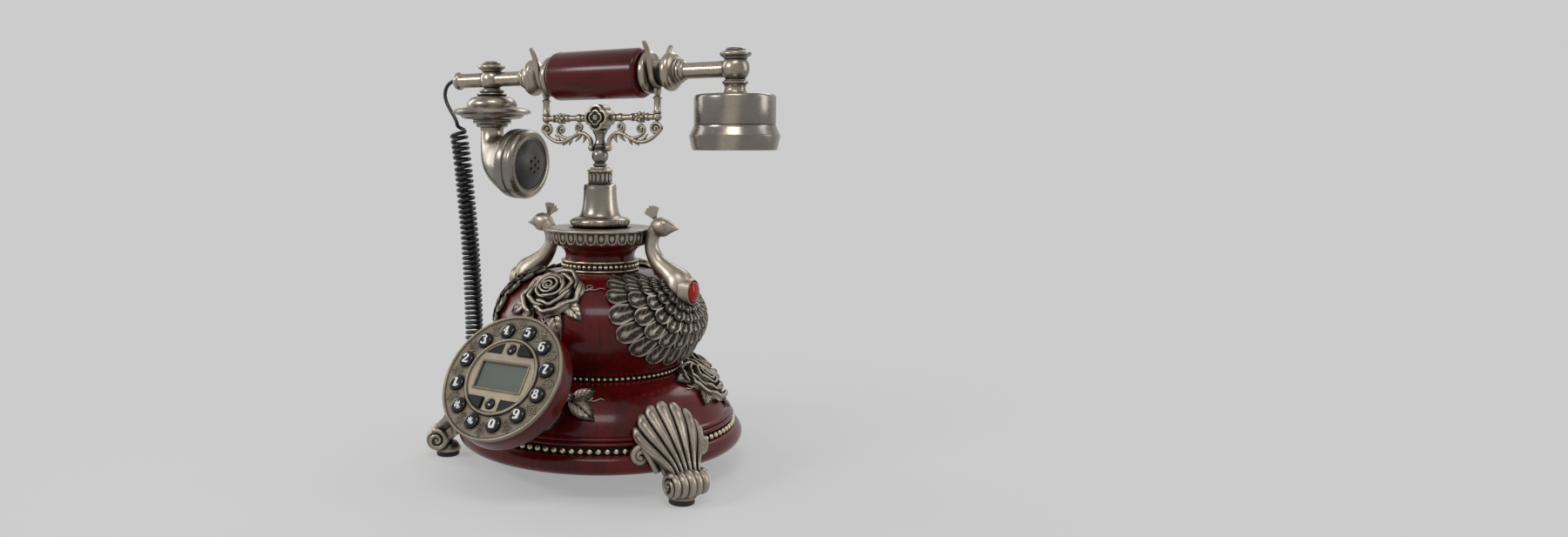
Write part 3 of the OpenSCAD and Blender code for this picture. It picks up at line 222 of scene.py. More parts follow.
def arc(cx, cy, r, start, end, n):
    """Points of an arc, from the start angle to the end angle in degrees."""
    angles = [radians(start + (end - start) * i / n) for i in range(n + 1)]
    return [(cx + r * cos(a), cy + r * sin(a)) for a in angles]


def spiral(cx, cy, r, start, turn, end, n, mirror=1):
    """Points of a spiral that winds in from radius r to end times r, turning by degrees."""
    out = []
    for i in range(n + 1):
        t = i / n
        a, q = radians(start + turn * t), r * (1 - (1 - end) * t)
        out.append((cx + mirror * q * cos(a), cy + q * sin(a)))
    return out


def bezier(points, t):
    a, b, c, d = (Vector(p) for p in points)
    s = 1 - t
    return s ** 3 * a + 3 * s * s * t * b + 3 * s * t * t * c + t ** 3 * d


def curve_point(points, u):
    """The point at place u, counted in points, on a Catmull-Rom curve through them."""
    last = len(points) - 1
    i = min(int(u), last - 1)
    t = u - i
    a, b, c, d = points[max(i - 1, 0)], points[i], points[i + 1], points[min(i + 2, last)]
    return 0.5 * (2 * b + (c - a) * t + (2 * a - 5 * b + 4 * c - d) * t * t + (3 * b - a - 3 * c + d)
        * t ** 3)


def smooth_path(points, per=8):
    """A smooth curve through the points, with a number of steps between each two."""
    points = [Vector(p) for p in points]
    return [curve_point(points, k / per) for k in range(per * (len(points) - 1))] + [points[-1]]


def smooth_flat(points, per):
    """A smooth curve through points of a plane."""
    return [(p.x, p.y) for p in smooth_path([(x, y, 0) for x, y in points], per)]


def tube(bm, path, radius, around=10, side=(0, 1, 0), flat=1.0, round_ends=True):
    """A tube along the path; radius is a number or a function of 0 to 1; flat scales across side."""
    n = len(path) - 1
    get = radius if callable(radius) else (lambda t: radius)
    side = Vector(side)

    def shape(u, v):
        i = min(int(round(u * n)), n)
        ahead = (path[min(i + 1, n)] - path[max(i - 1, 0)]).normalized()
        e1 = side.cross(ahead).normalized()
        e2 = ahead.cross(e1)
        a = tau * v
        r = get(i / n)
        if round_ends and i in (0, n):
            r *= 0.02
        return path[i] + r * (cos(a) * e1 + flat * sin(a) * e2)

    part = patch(n, around, shape)
    finish_mesh(part, 2 * WELD)
    join(bm, part)


def turn_to(direction, up=(0, 0, 1)):
    """A rotation whose Z is the direction and whose Y is as near up as it can be."""
    z = Vector(direction).normalized()
    x = Vector(up).cross(z).normalized()
    y = z.cross(x)
    return Matrix((x, y, z)).transposed().to_4x4()


def about(axis, degrees):
    return Matrix.Rotation(radians(degrees), 4, axis)


def about_z(degrees):
    return about("Z", degrees)


def move(x, y, z):
    return Matrix.Translation((x, y, z))


def scaled(x, y=None, z=None):
    y, z = x if y is None else y, x if z is None else z
    return Matrix.Diagonal((x, y, z, 1))


# ---------- shader maths ----------
class Sock:
    """A shader socket that adds Math nodes when it is used in an expression."""

    def __init__(self, tree, socket):
        self.tree, self.socket = tree, socket

    def math(self, operation, *values, clamp=False):
        node = self.tree.nodes.new("ShaderNodeMath")
        node.operation, node.use_clamp = operation, clamp
        for slot, value in zip(node.inputs, values):
            if isinstance(value, Sock):
                self.tree.links.new(value.socket, slot)
            else:
                slot.default_value = value
        return Sock(self.tree, node.outputs[0])

    def __add__(self, other):
        return self.math("ADD", self, other)

    def __radd__(self, other):
        return self.math("ADD", other, self)

    def __sub__(self, other):
        return self.math("SUBTRACT", self, other)

    def __rsub__(self, other):
        return self.math("SUBTRACT", other, self)

    def __mul__(self, other):
        return self.math("MULTIPLY", self, other)

    def __rmul__(self, other):
        return self.math("MULTIPLY", other, self)

    def __truediv__(self, other):
        return self.math("DIVIDE", self, other)

    def __pow__(self, other):
        return self.math("POWER", self, other)

    def clamped(self):
        return self.math("ADD", self, 0.0, clamp=True)

    def most(self, other):
        return self.math("MAXIMUM", self, other)


class Finish:
    """A material under construction, with its Principled shader."""

    def __init__(self, name, **constants):
        self.material = bpy.data.materials.new(name)
        self.material.use_nodes = True
        self.tree = self.material.node_tree
        self.shader = next(n for n in self.tree.nodes if n.type == "BSDF_PRINCIPLED")
        self.set(**constants)

    def set(self, **values):
        """Sets the shader's sockets: keyword Base_Color is the socket Base Color."""
        for key, value in values.items():
            self.put(self.shader.inputs[key.replace("_", " ")], value)

    def put(self, socket, value):
        if isinstance(value, Sock):
            self.tree.links.new(value.socket, socket)
        elif isinstance(value, (tuple, list)) and len(value) == 3 and socket.type == "RGBA":
            socket.default_value = (*value, 1)
        else:
            socket.default_value = value

    def node(self, kind, settings=None, inputs=None, output=0):
        """Adds a node: settings first, a ramp's stops among them, then its sockets' values or links."""
        node = self.tree.nodes.new("ShaderNode" + kind)
        for key, value in (settings or {}).items():
            if key == "stops":
                ramp = node.color_ramp
                while len(ramp.elements) < len(value):
                    ramp.elements.new(0.5)
                for element, (place, tone) in zip(ramp.elements, value):
                    element.position = place
                    element.color = (*tone, 1) if isinstance(tone, tuple) else (tone, tone, tone, 1)
            else:
                setattr(node, key, value)
        for key, value in (inputs or {}).items():
            self.put(node.inputs[key], value)
        return Sock(self.tree, node.outputs[output])

    def place(self, scale, turn):
        """Object coordinates through a Mapping node."""
        where = self.node("TexCoord", output="Object")
        return self.node("Mapping", inputs={"Vector": where, "Scale": scale, "Rotation": turn})

    def grain(self, size, detail=2.0, rough=0.5, stretch=(1, 1, 1), turn=(0, 0, 0), warp=0.0):
        """Noise of 0 to 1 with features of about size metres."""
        where = self.place(tuple(s / size for s in stretch), turn)
        return self.node("TexNoise", inputs={"Vector": where, "Scale": 1.0, "Detail": detail,
            "Roughness": rough, "Distortion": warp}, output="Fac")

    def ramp(self, value, *stops):
        return self.node("ValToRGB", {"stops": stops}, {"Fac": value})

    def blend(self, factor, first, second):
        node = self.tree.nodes.new("ShaderNodeMix")
        node.data_type = "RGBA"
        self.put(node.inputs["Factor"], factor)
        colours = [s for s in node.inputs if s.type == "RGBA"]
        self.put(colours[0], first)
        self.put(colours[1], second)
        return Sock(self.tree, next(s for s in node.outputs if s.type == "RGBA"))

    def bump(self, height, strength, distance):
        self.set(Normal=self.node("Bump", inputs={"Height": height, "Strength": strength,
            "Distance": distance}))


finishes = {}


def metal_finish(name, light, dark, brush=(1, 1, 1), brush_size=0.0006, reach=0.0035, fill=0.75, rough=0.34,
        cast=1.0, bands=0.0):
    """Antique plating: bright on high places, dark in recesses with patina and painted shade, brushed, and
    with broad painted reflection bands.
    """
    mat = Finish(name, IOR=1.5)
    # Painted shade: ambient occlusion darkens the recesses, added to the patina of the sunk layer, the clouds
    # and the specks
    occlusion_shade = mat.node("AmbientOcclusion", {"samples": 6}, {"Distance": reach}, output="AO")
    sunk = mat.node("Attribute", {"attribute_name": "sunk"}, output="Fac")
    cloud = mat.grain(0.014, 3.0, 0.6)
    speck = mat.grain(0.0016, 2.0, 0.7)
    strokes = mat.grain(brush_size, 2.0, 0.6, brush)
    patina_and_shade = (((1.0 - occlusion_shade ** 1.4) * 1.5 + sunk + (cloud - 0.45) * 0.45 + (speck - 0.5) * (0.25 * cast))
        * fill).clamped()
    warm = mat.blend(cloud.clamped(), light, tuple(c * k for c, k in zip(light, (0.84, 0.79, 0.72))))
    # Painted reflection: broad bands stretched along Z, cool where dark, blended in by bands
    if bands:
        painted_reflection = mat.ramp(mat.grain(0.018, 1.5, 0.5, (1, 1, 0.12)), (0.42, 1.0), (0.56, 0.0))
        reflection_cool = tuple(c * k for c, k in zip(light, (0.26, 0.29, 0.34)))
        warm = mat.blend(painted_reflection * bands, warm, reflection_cool)
    # The plating tone, darkened by the patina and the painted shade
    tone = mat.blend(patina_and_shade, warm, dark)
    streak = mat.ramp(strokes, (0.3, 0.80), (0.7, 1.0))
    colour = mat.node("VectorMath", {"operation": "MULTIPLY"}, {0: tone, 1: streak})
    mat.set(Base_Color=colour, Roughness=(rough + patina_and_shade * 0.3 + (strokes - 0.5) * 0.22).clamped(),
        Metallic=(0.98 - patina_and_shade * 0.3).clamped())
    mat.bump(strokes * 0.6 + speck * (0.8 * cast), 0.22, 0.00006 + 0.00014 * cast)
    finishes[name] = mat.material


def lacquer_finish(name, bright, deep, stretch=(1, 1, 0.12)):
    """Wood grain under a deep gloss coat."""
    mat = Finish(name, Coat_Weight=0.45, Coat_Roughness=0.13, Coat_IOR=1.4, IOR=1.4, Specular_IOR_Level=0.2)
    flame = mat.grain(0.03, 4.0, 0.62, stretch, warp=0.6)
    pores = mat.grain(0.0022, 3.0, 0.6, (stretch[0], stretch[1], stretch[2] * 0.4))
    mask = mat.ramp(flame, (0.30, 0.0), (0.66, 1.0))
    wood = mat.blend(mask, deep, bright)
    dark_pores = mat.ramp(pores, (0.36, 0.62), (0.52, 1.0))
    mat.set(Base_Color=mat.node("VectorMath", {"operation": "MULTIPLY"}, {0: wood, 1: dark_pores}),
        Roughness=0.3 + (flame - 0.5) * 0.12)
    mat.bump(mat.grain(0.02, 1.0), 0.05, 0.0004)
    finishes[name] = mat.material


def plain_finish(name, colour, rough, tint=0.7, grain=0.0008, height=0.0, metallic=0.0, coat=0.0, **more):
    """A moulded or stamped surface with a fine grain of its own."""
    mat = Finish(name, Metallic=metallic, Coat_Weight=coat, **more)
    fine = mat.grain(grain, 2.0, 0.6)
    wide = mat.grain(0.02, 2.0)
    mat.set(Base_Color=mat.blend(wide, colour, tuple(c * tint for c in colour)),
        Roughness=(rough + (fine - 0.5) * 0.12 + (wide - 0.5) * 0.08).clamped())
    if height:
        mat.bump(fine, 0.4, height)
    finishes[name] = mat.material


# ---------- cord ----------
CORD_ROUTE = [Vector((x, 0, z)) for x, z in ((-132.4, AXIS_Z), (-138, AXIS_Z), (-143.5, 277), (-145.8, 271),
    (-144.5, 265), (-141, 259), (-137, 253.5), (-134, 248), (-132.6, 241), (-131, 232), (-128, 212),
    (-125, 184), (-122, 153), (-120, 120), (-119, 86), (-119, 54), (-119, 38), (-117.6, 29), (-112.5, 24),
    (-106.4, 24))]
ROUTE_END = len(CORD_ROUTE) - 1
LEAD_END = 7
FIRST_CURL, LAST_CURL = 8.2, 16
CURLS, CURL_STEPS = 50, 24
ENTRY_TURN, ENTRY_STEPS, EXIT_STEPS = 0.5, 12, 16


def route_at(u):
    return curve_point(CORD_ROUTE, u)


def heading(u):
    """The route's direction at place u, over a short step each way."""
    return (route_at(min(u + 0.02, ROUTE_END)) - route_at(max(u - 0.02, 0))).normalized()


def table_lookup(x, xs, ys):
    for i in range(len(xs) - 1):
        if x <= xs[i + 1]:
            return ys[i] + (ys[i + 1] - ys[i]) * (x - xs[i]) / (xs[i + 1] - xs[i])
    return ys[-1]


def coil_path(curls, radius):
    """The wire's line from the lead's end, round its curls, to the bush."""
    runs = [0.0]
    for a, b in zip(CORD_ROUTE, CORD_ROUTE[1:]):
        runs.append(runs[-1] + (b - a).length)
    places = list(range(len(CORD_ROUTE)))
    start, end = (table_lookup(u, places, runs) for u in (FIRST_CURL, LAST_CURL))
    side = Vector((0, 1, 0))

    def curl_point(u, f, r):
        out = side.cross(heading(u))
        a = pi + tau * curls * (0.92 * f + 0.08 * f * f)
        return route_at(u) + r * (cos(a) * out + sin(a) * side)

    path = []
    for i in range(ENTRY_STEPS):
        f = i / ENTRY_STEPS
        widening = f * f * (3 - 2 * f)
        u = LEAD_END + (FIRST_CURL - LEAD_END) * f
        path.append(curl_point(u, -ENTRY_TURN * (1 - f) / curls, radius * widening))
    steps = curls * CURL_STEPS
    for i in range(steps + 1):
        f = i / steps
        path.append(curl_point(table_lookup(start + (end - start) * f, runs, places), f, radius))
    for i in range(1, EXIT_STEPS + 1):
        f = i / EXIT_STEPS
        path.append(curl_point(LAST_CURL + (ROUTE_END - LAST_CURL) * f, 1, radius * max(0, 1 - 1.5 * f)))
    return path


def wire(name, path, thick, finish):
    """A round wire along the path, as a curve of one open spline."""
    data = bpy.data.curves.new(name, "CURVE")
    data.dimensions = "3D"
    spline = data.splines.new("POLY")
    spline.points.add(len(path) - 1)
    for point, place in zip(spline.points, path):
        point.co = (*place, 1)
    data.bevel_depth = thick / 2
    data.bevel_resolution = 3
    data.use_fill_caps = True
    data.materials.append(finish)
    return linked(name, data)


def wire_mesh(line):
    """The wire's own surface as a mesh."""
    name = line.name
    mesh = bpy.data.meshes.new_from_object(line)
    bpy.data.objects.remove(line)
    mesh.name = name
    return linked(name, mesh)


def path_length(path):
    return sum((b - a).length for a, b in zip(path, path[1:]))


def build_cord(scene):
    sizes = scene.phone_sizes
    thick = sizes.wire_thick
    rubber = finishes["cord rubber"]
    lead_path = [route_at(i / 4) * MM for i in range(4 * LEAD_END + 1)]
    lead = wire("cord_lead_wire", lead_path, thick, rubber)
    curls = [point * MM for point in coil_path(CURLS, (sizes.curl_across - thick) / 2 / MM)]
    coil = wire_mesh(wire("cord_curls", curls, thick, rubber))
    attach(lead, "handset")
    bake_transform(coil)
    for piece, node, path, lay in ((lead, "cord_lead", lead_path, "loose"), (coil, "cord_coil", curls,
            "coiled")):
        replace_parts(piece, node)
        tuple(path[0])
        path_length(path)
        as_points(path if piece is coil else None)


class PHONE_OT_cord(bpy.types.Operator):
    """Winds the handset cord from the handset's tube to the base"""
    bl_idname = "phone.cord"
    bl_label = "Handset cord"

    def execute(self, context):
        build_cord(context.scene)
        return {"FINISHED"}


# ---------- the curved grounds that the castings lie on ----------
WAIST_R, SHOULDER_R = 59, 28.5
EQUATOR_Z = VASE_LOW + 0.44 * (VASE_TOP - VASE_LOW)
DOME_R, DOME_H = RIM_R - 10.5, 27
DOME_Z = WAIST_Z - DOME_H + 0.1
GEM_Z, GEM_X = middle("gems").z, high("gems").x - 1.5


def vase_radius(z):
    if z < EQUATOR_Z:
        return VASE_R - (VASE_R - WAIST_R) * max(0, (EQUATOR_Z - z) / (EQUATOR_Z - VASE_LOW)) ** 1.4
    return SHOULDER_R + (VASE_R - SHOULDER_R) * sqrt(max(0, 1 - ((z - EQUATOR_Z)
        / (VASE_TOP - EQUATOR_Z)) ** 2))


def dome_point(t):
    """Radius and height on the base's dome, from its foot at 0 to the waist at 1."""
    a = radians(90 * t)
    return (WAIST_R + (DOME_R - WAIST_R) * (0.62 * cos(a) + 0.38 * (1 - t)), DOME_Z + DOME_H
        * (0.62 * sin(a) + 0.38 * t))


def dome_radius(z):
    rows = [dome_point(i / 10) for i in range(11)]
    return RIM_R - 6 if z <= rows[0][1] else table_lookup(z, [h for q, h in rows], [q for q, h in rows])


def tile(bm, nu, nv, shape, sink):
    """A closed plate: shape(u, v, 0) is its face and shape(u, v, sink) the foot of its sides.
    A shape may give its place alone, or its place and how deep in the patina it lies."""
    sunk = {}

    def ringed(u, v):
        iu, iv = round(u * (nu + 2)) - 1, round(v * (nv + 2)) - 1
        edge = iu < 0 or iv < 0 or iu > nu or iv > nv
        out = shape(min(max(iu / nu, 0), 1), min(max(iv / nv, 0), 1), sink if edge else 0)
        if isinstance(out, tuple):
            sunk[tuple(out[0])] = 0.9 if edge else out[1]
            return out[0]
        return out

    part = patch(nu + 2, nv + 2, ringed)
    layer = part.verts.layers.float.new("sunk")
    if sunk:
        for vert in part.verts:
            vert[layer] = sunk.get(tuple(vert.co), 0)
    finish_mesh(part, outward=False)
    close(part)
    join(bm, part)


# ---------- beads, flange and neck band ----------
def bead_row(ring_r, z, count, across, tall, band):
    """Beads strung on a thin wire round the axis, in front of a dark band."""
    bm = bmesh.new()
    spin_profile(bm, arc(ring_r, z, 0.3 * across / 2, 0, 360, 8), 96)
    spin_profile(bm, band)
    in_patina(bm)
    beads = bmesh.new()
    for i in range(count):
        ball(beads, across / 2, about_z(360 * i / count) @ move(ring_r, 0, z) @ scaled(1, 1, tall / across),
            12, 8)
    in_patina(beads, 0)
    join(bm, beads)
    return bm


def build_beads(scene):
    counts = scene.phone_counts
    z, r = middle("base_bead_ring").z, high("base_bead_ring").x - 2.3
    bm = bead_row(r, z, counts.base_beads, 4.3, 4.7, [(r - 2.6, z - 2.6), (r - 1.2, z - 2.6), (r - 1.6, z),
        (r - 1.2, z + 2.6), (r - 2.6, z + 2.6), (r - 2.6, z - 2.6)])
    stand_in("base_beads", bm, "base_bead_ring", "bead brass")
    z, r = middle("waist_bead_ring").z, high("waist_bead_ring").x - 1.4
    bm = bead_row(r, z, counts.waist_beads, 2.9, 2.9, [(r - 3.6, z - 1.4), (r - 0.8, z - 1.4), (r - 1.1, z),
        (r - 0.8, z + 1.4), (r - 3.6, z + 1.4), (r - 3.6, z - 1.4)])
    stand_in("waist_beads", bm, "waist_bead_ring", "bead brass")
    bottom, top, r = low("neck_bead_band").z, high("neck_bead_band").z, high("neck_bead_band").x
    wall, groove = 25.6, r - 1.9
    bm = bead_row(r - 1.3, (bottom + top) / 2, counts.neck_beads, 3.1, 3.4, [(wall, bottom + 1.9),
        (groove, bottom + 1.9), (groove, top - 1.9), (wall, top - 1.9), (wall, bottom + 1.9)])
    for edge in (bottom, top - 1.9):
        spin_profile(bm, [(wall, edge), *arc(r - 0.85, edge + 0.95, 0.85, -90, 90, 10), (wall, edge + 1.9),
            (wall, edge)])
    stand_in("neck_band_beads", bm, "neck_bead_band", "bead brass")


class PHONE_OT_beads(bpy.types.Operator):
    """Strings the beads of the base, the waist and the neck band"""
    bl_idname = "phone.beads"
    bl_label = "Rows of beads"

    def execute(self, context):
        build_beads(context.scene)
        return {"FINISHED"}


def build_flange(scene):
    bm = bmesh.new()
    top, lip = FLANGE_TOP, FLANGE_LOW
    count = scene.phone_counts.tongues
    spin_profile(bm, [(13.6, lip + 0.05), (FLANGE_R - 4.4, lip + 0.05), (FLANGE_R - 3.7, lip + 1.8),
        (FLANGE_R - 3.0, top - 3.6), *arc(FLANGE_R - 1.9, top - 1.6, 1.1, -60, 90, 7),
        (FLANGE_R - 5, top - 0.3), (FLANGE_R - 6, top - 0.6), (13.6, top - 0.6), (13.6, lip + 0.05)], 128)
    half = pi / count * 0.97
    reach = top - lip - 2.0

    def tongue(turn):
        def shape(u, v, sink):
            across = 2 * v - 1
            tip = max(0.0, (u - 0.5) / 0.5)
            width = sqrt(max(0, 1 - tip ** 2.2))
            rim = max(0.0, (max(abs(across), tip ** 2) - 0.6) / 0.4)
            rim = sin(min(1, rim) * pi * 0.62)
            boss = max(0.0, 1 - (across * width / 0.5) ** 2 - ((u - 0.5) / 0.3) ** 2) ** 0.5
            lift = 0.9 * rim + 0.75 * boss
            z = top - 1.7 - reach * u
            r = FLANGE_R - 2.5 - 0.9 * u + (lift if not sink else -1.4)
            a = turn + across * width * half
            return Vector((r * cos(a), r * sin(a), z)), 0.75 * max(0, 1 - rim - boss)
        return shape

    for i in range(count):
        tile(bm, 12, 10, tongue(tau * i / count), 1)
    stand_in("flange_tongues", bm, "scallop_flange", "cast pewter", 60)


class PHONE_OT_flange(bpy.types.Operator):
    """Models the flange with its ring of tongues"""
    bl_idname = "phone.flange"
    bl_label = "Scalloped flange"

    def execute(self, context):
        build_flange(context.scene)
        return {"FINISHED"}


# ---------- peacocks ----------
FAN_TURN, FAN_DROP, FAN_RISE = radians(54), 49.5, 21
# Inner end, outer end and number of feathers of each row, from the outer row inwards
FAN_ROWS = ((0.64, 1.0, 19), (0.47, 0.77, 17), (0.34, 0.58, 15), (0.24, 0.43, 15), (0.14, 0.31, 13))
FAN_SPAN = 286


def fan_point(rho, th, lift):
    """A point above the vase: rho outward from the gem, th in degrees from straight down."""
    across, along = sin(radians(th)), cos(radians(th))
    rho *= (abs(across) ** 2.5 + abs(along) ** 2.5) ** -0.4
    a = FAN_TURN * rho * across
    z = min(GEM_Z - (FAN_DROP if along > 0 else FAN_RISE) * rho * along, VASE_TOP - 1)
    r = vase_radius(z)
    up = radians((55 if z > EQUATOR_Z else 30) * (z - EQUATOR_Z) / (VASE_TOP - EQUATOR_Z))
    r += lift * cos(up)
    return Vector((r * cos(a), r * sin(a), z + lift * sin(up)))


def feather(rho_in, rho_out, th, half, rise):
    """A feather's plate: a raised rim, a sunk web, and an eye on a stem."""
    def shape(u, v, sink):
        across = 2 * v - 1
        tip = max(0.0, (u - 0.62) / 0.38)
        width = sqrt(max(0.0, 1 - tip ** 2.3))
        taper = 0.70 + 0.30 * min(1, u / 0.7)
        rho = rho_in + (rho_out - rho_in) * u
        edge = max(abs(across), tip ** 2.2)
        rim = max(0.0, (edge - 0.70) / 0.30)
        rim = sin(min(1.0, rim) * pi * 0.62)
        eye = max(0.0, 1 - ((u - 0.77) / 0.12) ** 2 - (across * width / 0.34) ** 2) ** 0.5
        stem = max(0.0, 1 - abs(across) / 0.18) * (0.1 < u < 0.75)
        web = max(0.0, 1 - rim - eye - stem)
        face = rise + 1.5 * u + 0.75 * rim + 0.75 * eye + 0.45 * stem - 0.3 * (1 - width) ** 2
        lift = rise - 0.6 + 0.9 * u if sink else face
        place = fan_point(rho, th + half * across * width * taper * 1.02, lift)
        return place, web * (0.85 + 0.15 * cos(34 * (u + 0.3 * abs(across))))
    return shape


PEACOCK_PATH = ((-15.5, 0, -12), (-14.2, 0, -6), (-13.6, 0, 0), (-15, 0, 6), (-20.8, 0, 11.5),
    (-29.5, 0, 18.8), (-34.6, 0, 27), (-35.2, 0, 34), (-33.4, 0, 39.6), (-30.5, 0, 43.2))
PEACOCK_RADII = (3, 9.6, 12, 11.2, 8.4, 6.3, 5.3, 4.9, 5.3, 5.8)


def neck_tube(bm):
    points = [Vector((GEM_X + x, y, GEM_Z + z)) for x, y, z in PEACOCK_PATH]
    path = smooth_path(points, 6)
    radii = smooth_path([(r, 0, 0) for r in PEACOCK_RADII], 6)
    last = len(path) - 1
    tube(bm, path, lambda t: radii[round(t * last)].x, 24, flat=0.92)


def head(bm):
    """The head, its beak, eyes and crest, round the head's centre."""
    centre = Vector((GEM_X - 27.4, 0, GEM_Z + 44.2))

    def skull(u, v):
        x = -8.2 + 22.4 * u
        beak = max(0.0, (x - 6.4) / 10)
        r = 6.9 * sqrt(max(0.0, 1 - (x / 8.6) ** 2)) if x < 4.6 else 5.83 * max(0, 1 - (x - 4.6) / 9.6) ** 1.2
        a = tau * v
        brow = 0.35 * exp(-((x - 2.6) / 2.6) ** 2) * cos(2 * (a - 0.9)) ** 2
        y, z = (r + brow) * 0.88 * cos(a), (r + brow) * sin(a)
        return centre + Vector((x, y, z - 1.5 * beak))

    part = patch(30, 24, skull)
    finish_mesh(part, 10 * WELD)
    join(bm, part)
    # The beak's parting line and nostril mound
    ridge = [centre + Vector((x, 0, 3.7 - 0.50 * (x - 5) ** 1.15)) for x in (5.2, 6.7, 8.2, 9.7, 11.2)]
    tube(bm, smooth_path(ridge, 3), lambda t: 1.0 - 0.6 * t, 8)
    for side in (-1, 1):
        at = centre + Vector((2.6, side * 5.15, 1.5))
        ball(bm, 1.05, move(*at) @ scaled(1.25, 0.55, 0.8), 12, 8)
        ring = [at + Vector((2.1 * cos(a), -0.16 * side, 1.35 * sin(a))) for a in (tau * i / 16
            for i in range(17))]
        tube(bm, ring, 0.38, 6)
        cheek = [centre + Vector((x, side * y, z)) for x, y, z in ((6.6, 3.4, -1.6), (4.6, 5, -2.6),
            (1.6, 5.4, -3.2))]
        tube(bm, smooth_path(cheek, 3), lambda t: 0.3 + 0.25 * sin(pi * t), 6)
    root = centre + Vector((-4.9, 0, 4.6))
    for i in range(5):
        turn = radians(-54 + 15 * i)

        def plume(u, v, sink, turn=turn):
            across = 2 * v - 1
            wide = 0.4 + 1.15 * u ** 1.2
            x = (10.9 - 0.45 * abs(2 - i)) * u - 1.5 * u ** 3 * across * across
            side = across * wide
            ridge = 1 - abs(across) ** 1.5
            thick = (0.45 + 1.0 * ridge) * (0.8 + 0.2 * u)
            y = thick if not sink else -thick
            return root + Vector((x * sin(turn) + side * cos(turn), y * 0.9, x * cos(turn) - side
                * sin(turn)))

        tile(bm, 8, 6, plume, 1)
    ball(bm, 1.7, move(*root), 12, 8)


def gem_seat(bm):
    centre = move(GEM_X - 5.2, 0, GEM_Z) @ about("Y", 90)
    r = 7.55
    spin_profile(bm, [(0, -3.5), (r + 3.6, -3.5), (r + 2.6, -0.6), (r + 1.5, 2.6), (r + 1.35, 3.2),
        (r + 1.0, 3.5), (r + 0.5, 3.4), (r + 0.15, 3.0), (r, 2.3), (0, 2.3), (0, -3.5)], 40, centre)


def peacock_mesh():
    bm = bmesh.new()
    for depth, (rho_in, rho_out, count) in enumerate(FAN_ROWS):
        step = FAN_SPAN / count
        for i in range(count):
            th = (i - (count - 1) / 2) * step
            fine = 16 if depth < 4 else 11
            tile(bm, fine, 14 if depth < 4 else 10, feather(rho_in, rho_out, th, step / 2,
                1.2 + 0.62 * depth), 1)
    neck_tube(bm)
    head(bm)
    gem_seat(bm)
    return bm


def build_peacocks():
    for side, name in ((1, "peacock_right"), (-1, "peacock_left")):
        bm = peacock_mesh()
        if side < 0:
            place(bm, scaled(-1, 1, 1))
            bmesh.ops.reverse_faces(bm, faces=bm.faces)
        stand_in(name + "_casting", bm, name, "feather pewter", 50)
    bm = bmesh.new()
    for side in (1, -1):
        at = move(side * (GEM_X - 2.9), 0, GEM_Z) @ about("Y", 90 * side)
        profile = [(0, -0.2)] + [(7.45 * cos(a) ** 0.8, 4.1 * sin(a)) for a in (pi / 2 * i / 14
            for i in range(14))] + [(0, 4.1), (0, -0.2)]
        spin_profile(bm, profile, 48, at)
    stand_in("gem_cabochons", bm, "gems", "red gem")


class PHONE_OT_peacocks(bpy.types.Operator):
    """Models both peacocks, feather by feather, with their gems"""
    bl_idname = "phone.peacocks"
    bl_label = "Peacocks and gems"

    def execute(self, context):
        build_peacocks()
        return {"FINISHED"}


# ---------- roses ----------
PETAL_SECTION = ((-1.2, -9), (-0.95, -1.7), (-1.0, -0.9), (-0.8, -0.35), (-0.35, -0.03), (0.15, 0),
    (0.65, -0.18), (0.98, -0.6), (0.95, -1.1), (0.72, -1.6), (0.95, -2.6), (1.45, -4.2), (1.3, -9))
# Place, number, lap and thickness of each ring of petals, from the heart out
PETAL_RINGS = ((0.30, 2, 1.45, 0.95), (0.47, 3, 1.42, 1.1), (0.69, 4, 1.36, 1.4), (0.94, 5, 1.34, 1.65))


def petal(bm, r, top, foot, start, span, wall, coil=0.0, steps=20, tip=0.0):
    """A petal wound round Z: an upright wall with a rolled rim, and ends that thin and sink."""
    count = len(PETAL_SECTION)

    def shape(u, v):
        along = 2 * v - 1
        ends = max(0.0, 1 - abs(along) ** 3.2) ** 0.5
        x, z = PETAL_SECTION[round(u * count) % count]
        w = wall * (0.3 + 0.7 * ends)
        peak = tip * exp(-((along - 0.2 * sin(start)) / 0.17) ** 2)
        q = r * (1 + coil * along) + peak + x * w - 0.05 * r * along * along
        wave = 0.5 * wall * sin(3.1 * v * pi + start)
        z = max(foot, top - 1.5 * wall * (1 - ends) + wave * ends + z * w - peak * 0.5)
        a = start + span * along / 2
        return Vector((q * cos(a), q * sin(a), z))

    part = patch(count, steps, shape)
    # The sunk layer makes each petal darker towards its foot
    layer = part.verts.layers.float.new("sunk")
    for vert in part.verts:
        vert[layer] = max(0.0, min(1.0, (top - 2.4 * wall - vert.co.z) / (2.4 * wall)))
    finish_mesh(part, outward=False)
    close(part)
    join(bm, part)


def rose(r, h, at, seed=0):
    """A full rose that opens along Z: a wound heart and rings of petals that overlap."""
    bm = bmesh.new()
    wall = 0.05 * r

    def top(q):
        return h * (1 - 0.62 * (q / r) ** 2)

    petal(bm, 0.13 * r, top(0.1 * r), 0.3 * h, seed, tau * 1.7, wall * 0.9, 0.62, 44)
    for i, (q, count, lap, thick) in enumerate(PETAL_RINGS):
        for k in range(count):
            turn = tau * (k + 0.37 * i) / count + seed + 0.16 * sin(3.7 * k + 2.1 * i + seed)
            loose = q * r * (1 + 0.045 * sin(2.3 * k + 1.7 * i + seed))
            petal(bm, loose, top(q * r) + 0.5 * wall * sin(1.9 * k + i + seed), 0, turn, tau / count * lap,
                wall * thick, 0.07 + 0.015 * i, 22, 0.085 * r * (i > 1))
    # The body under the petals is marked dark all over and shows in the gaps between them
    under = bmesh.new()
    spin_profile(under, [(0, -0.5), (0.86 * r, -0.5), (0.80 * r, 0.1 * h), (0.5 * r, 0.34 * h),
        (0.3 * r, 0.62 * h), (0, 0.72 * h), (0, -0.5)], 24)
    in_patina(under)
    join(bm, under)
    place(bm, at)
    return bm


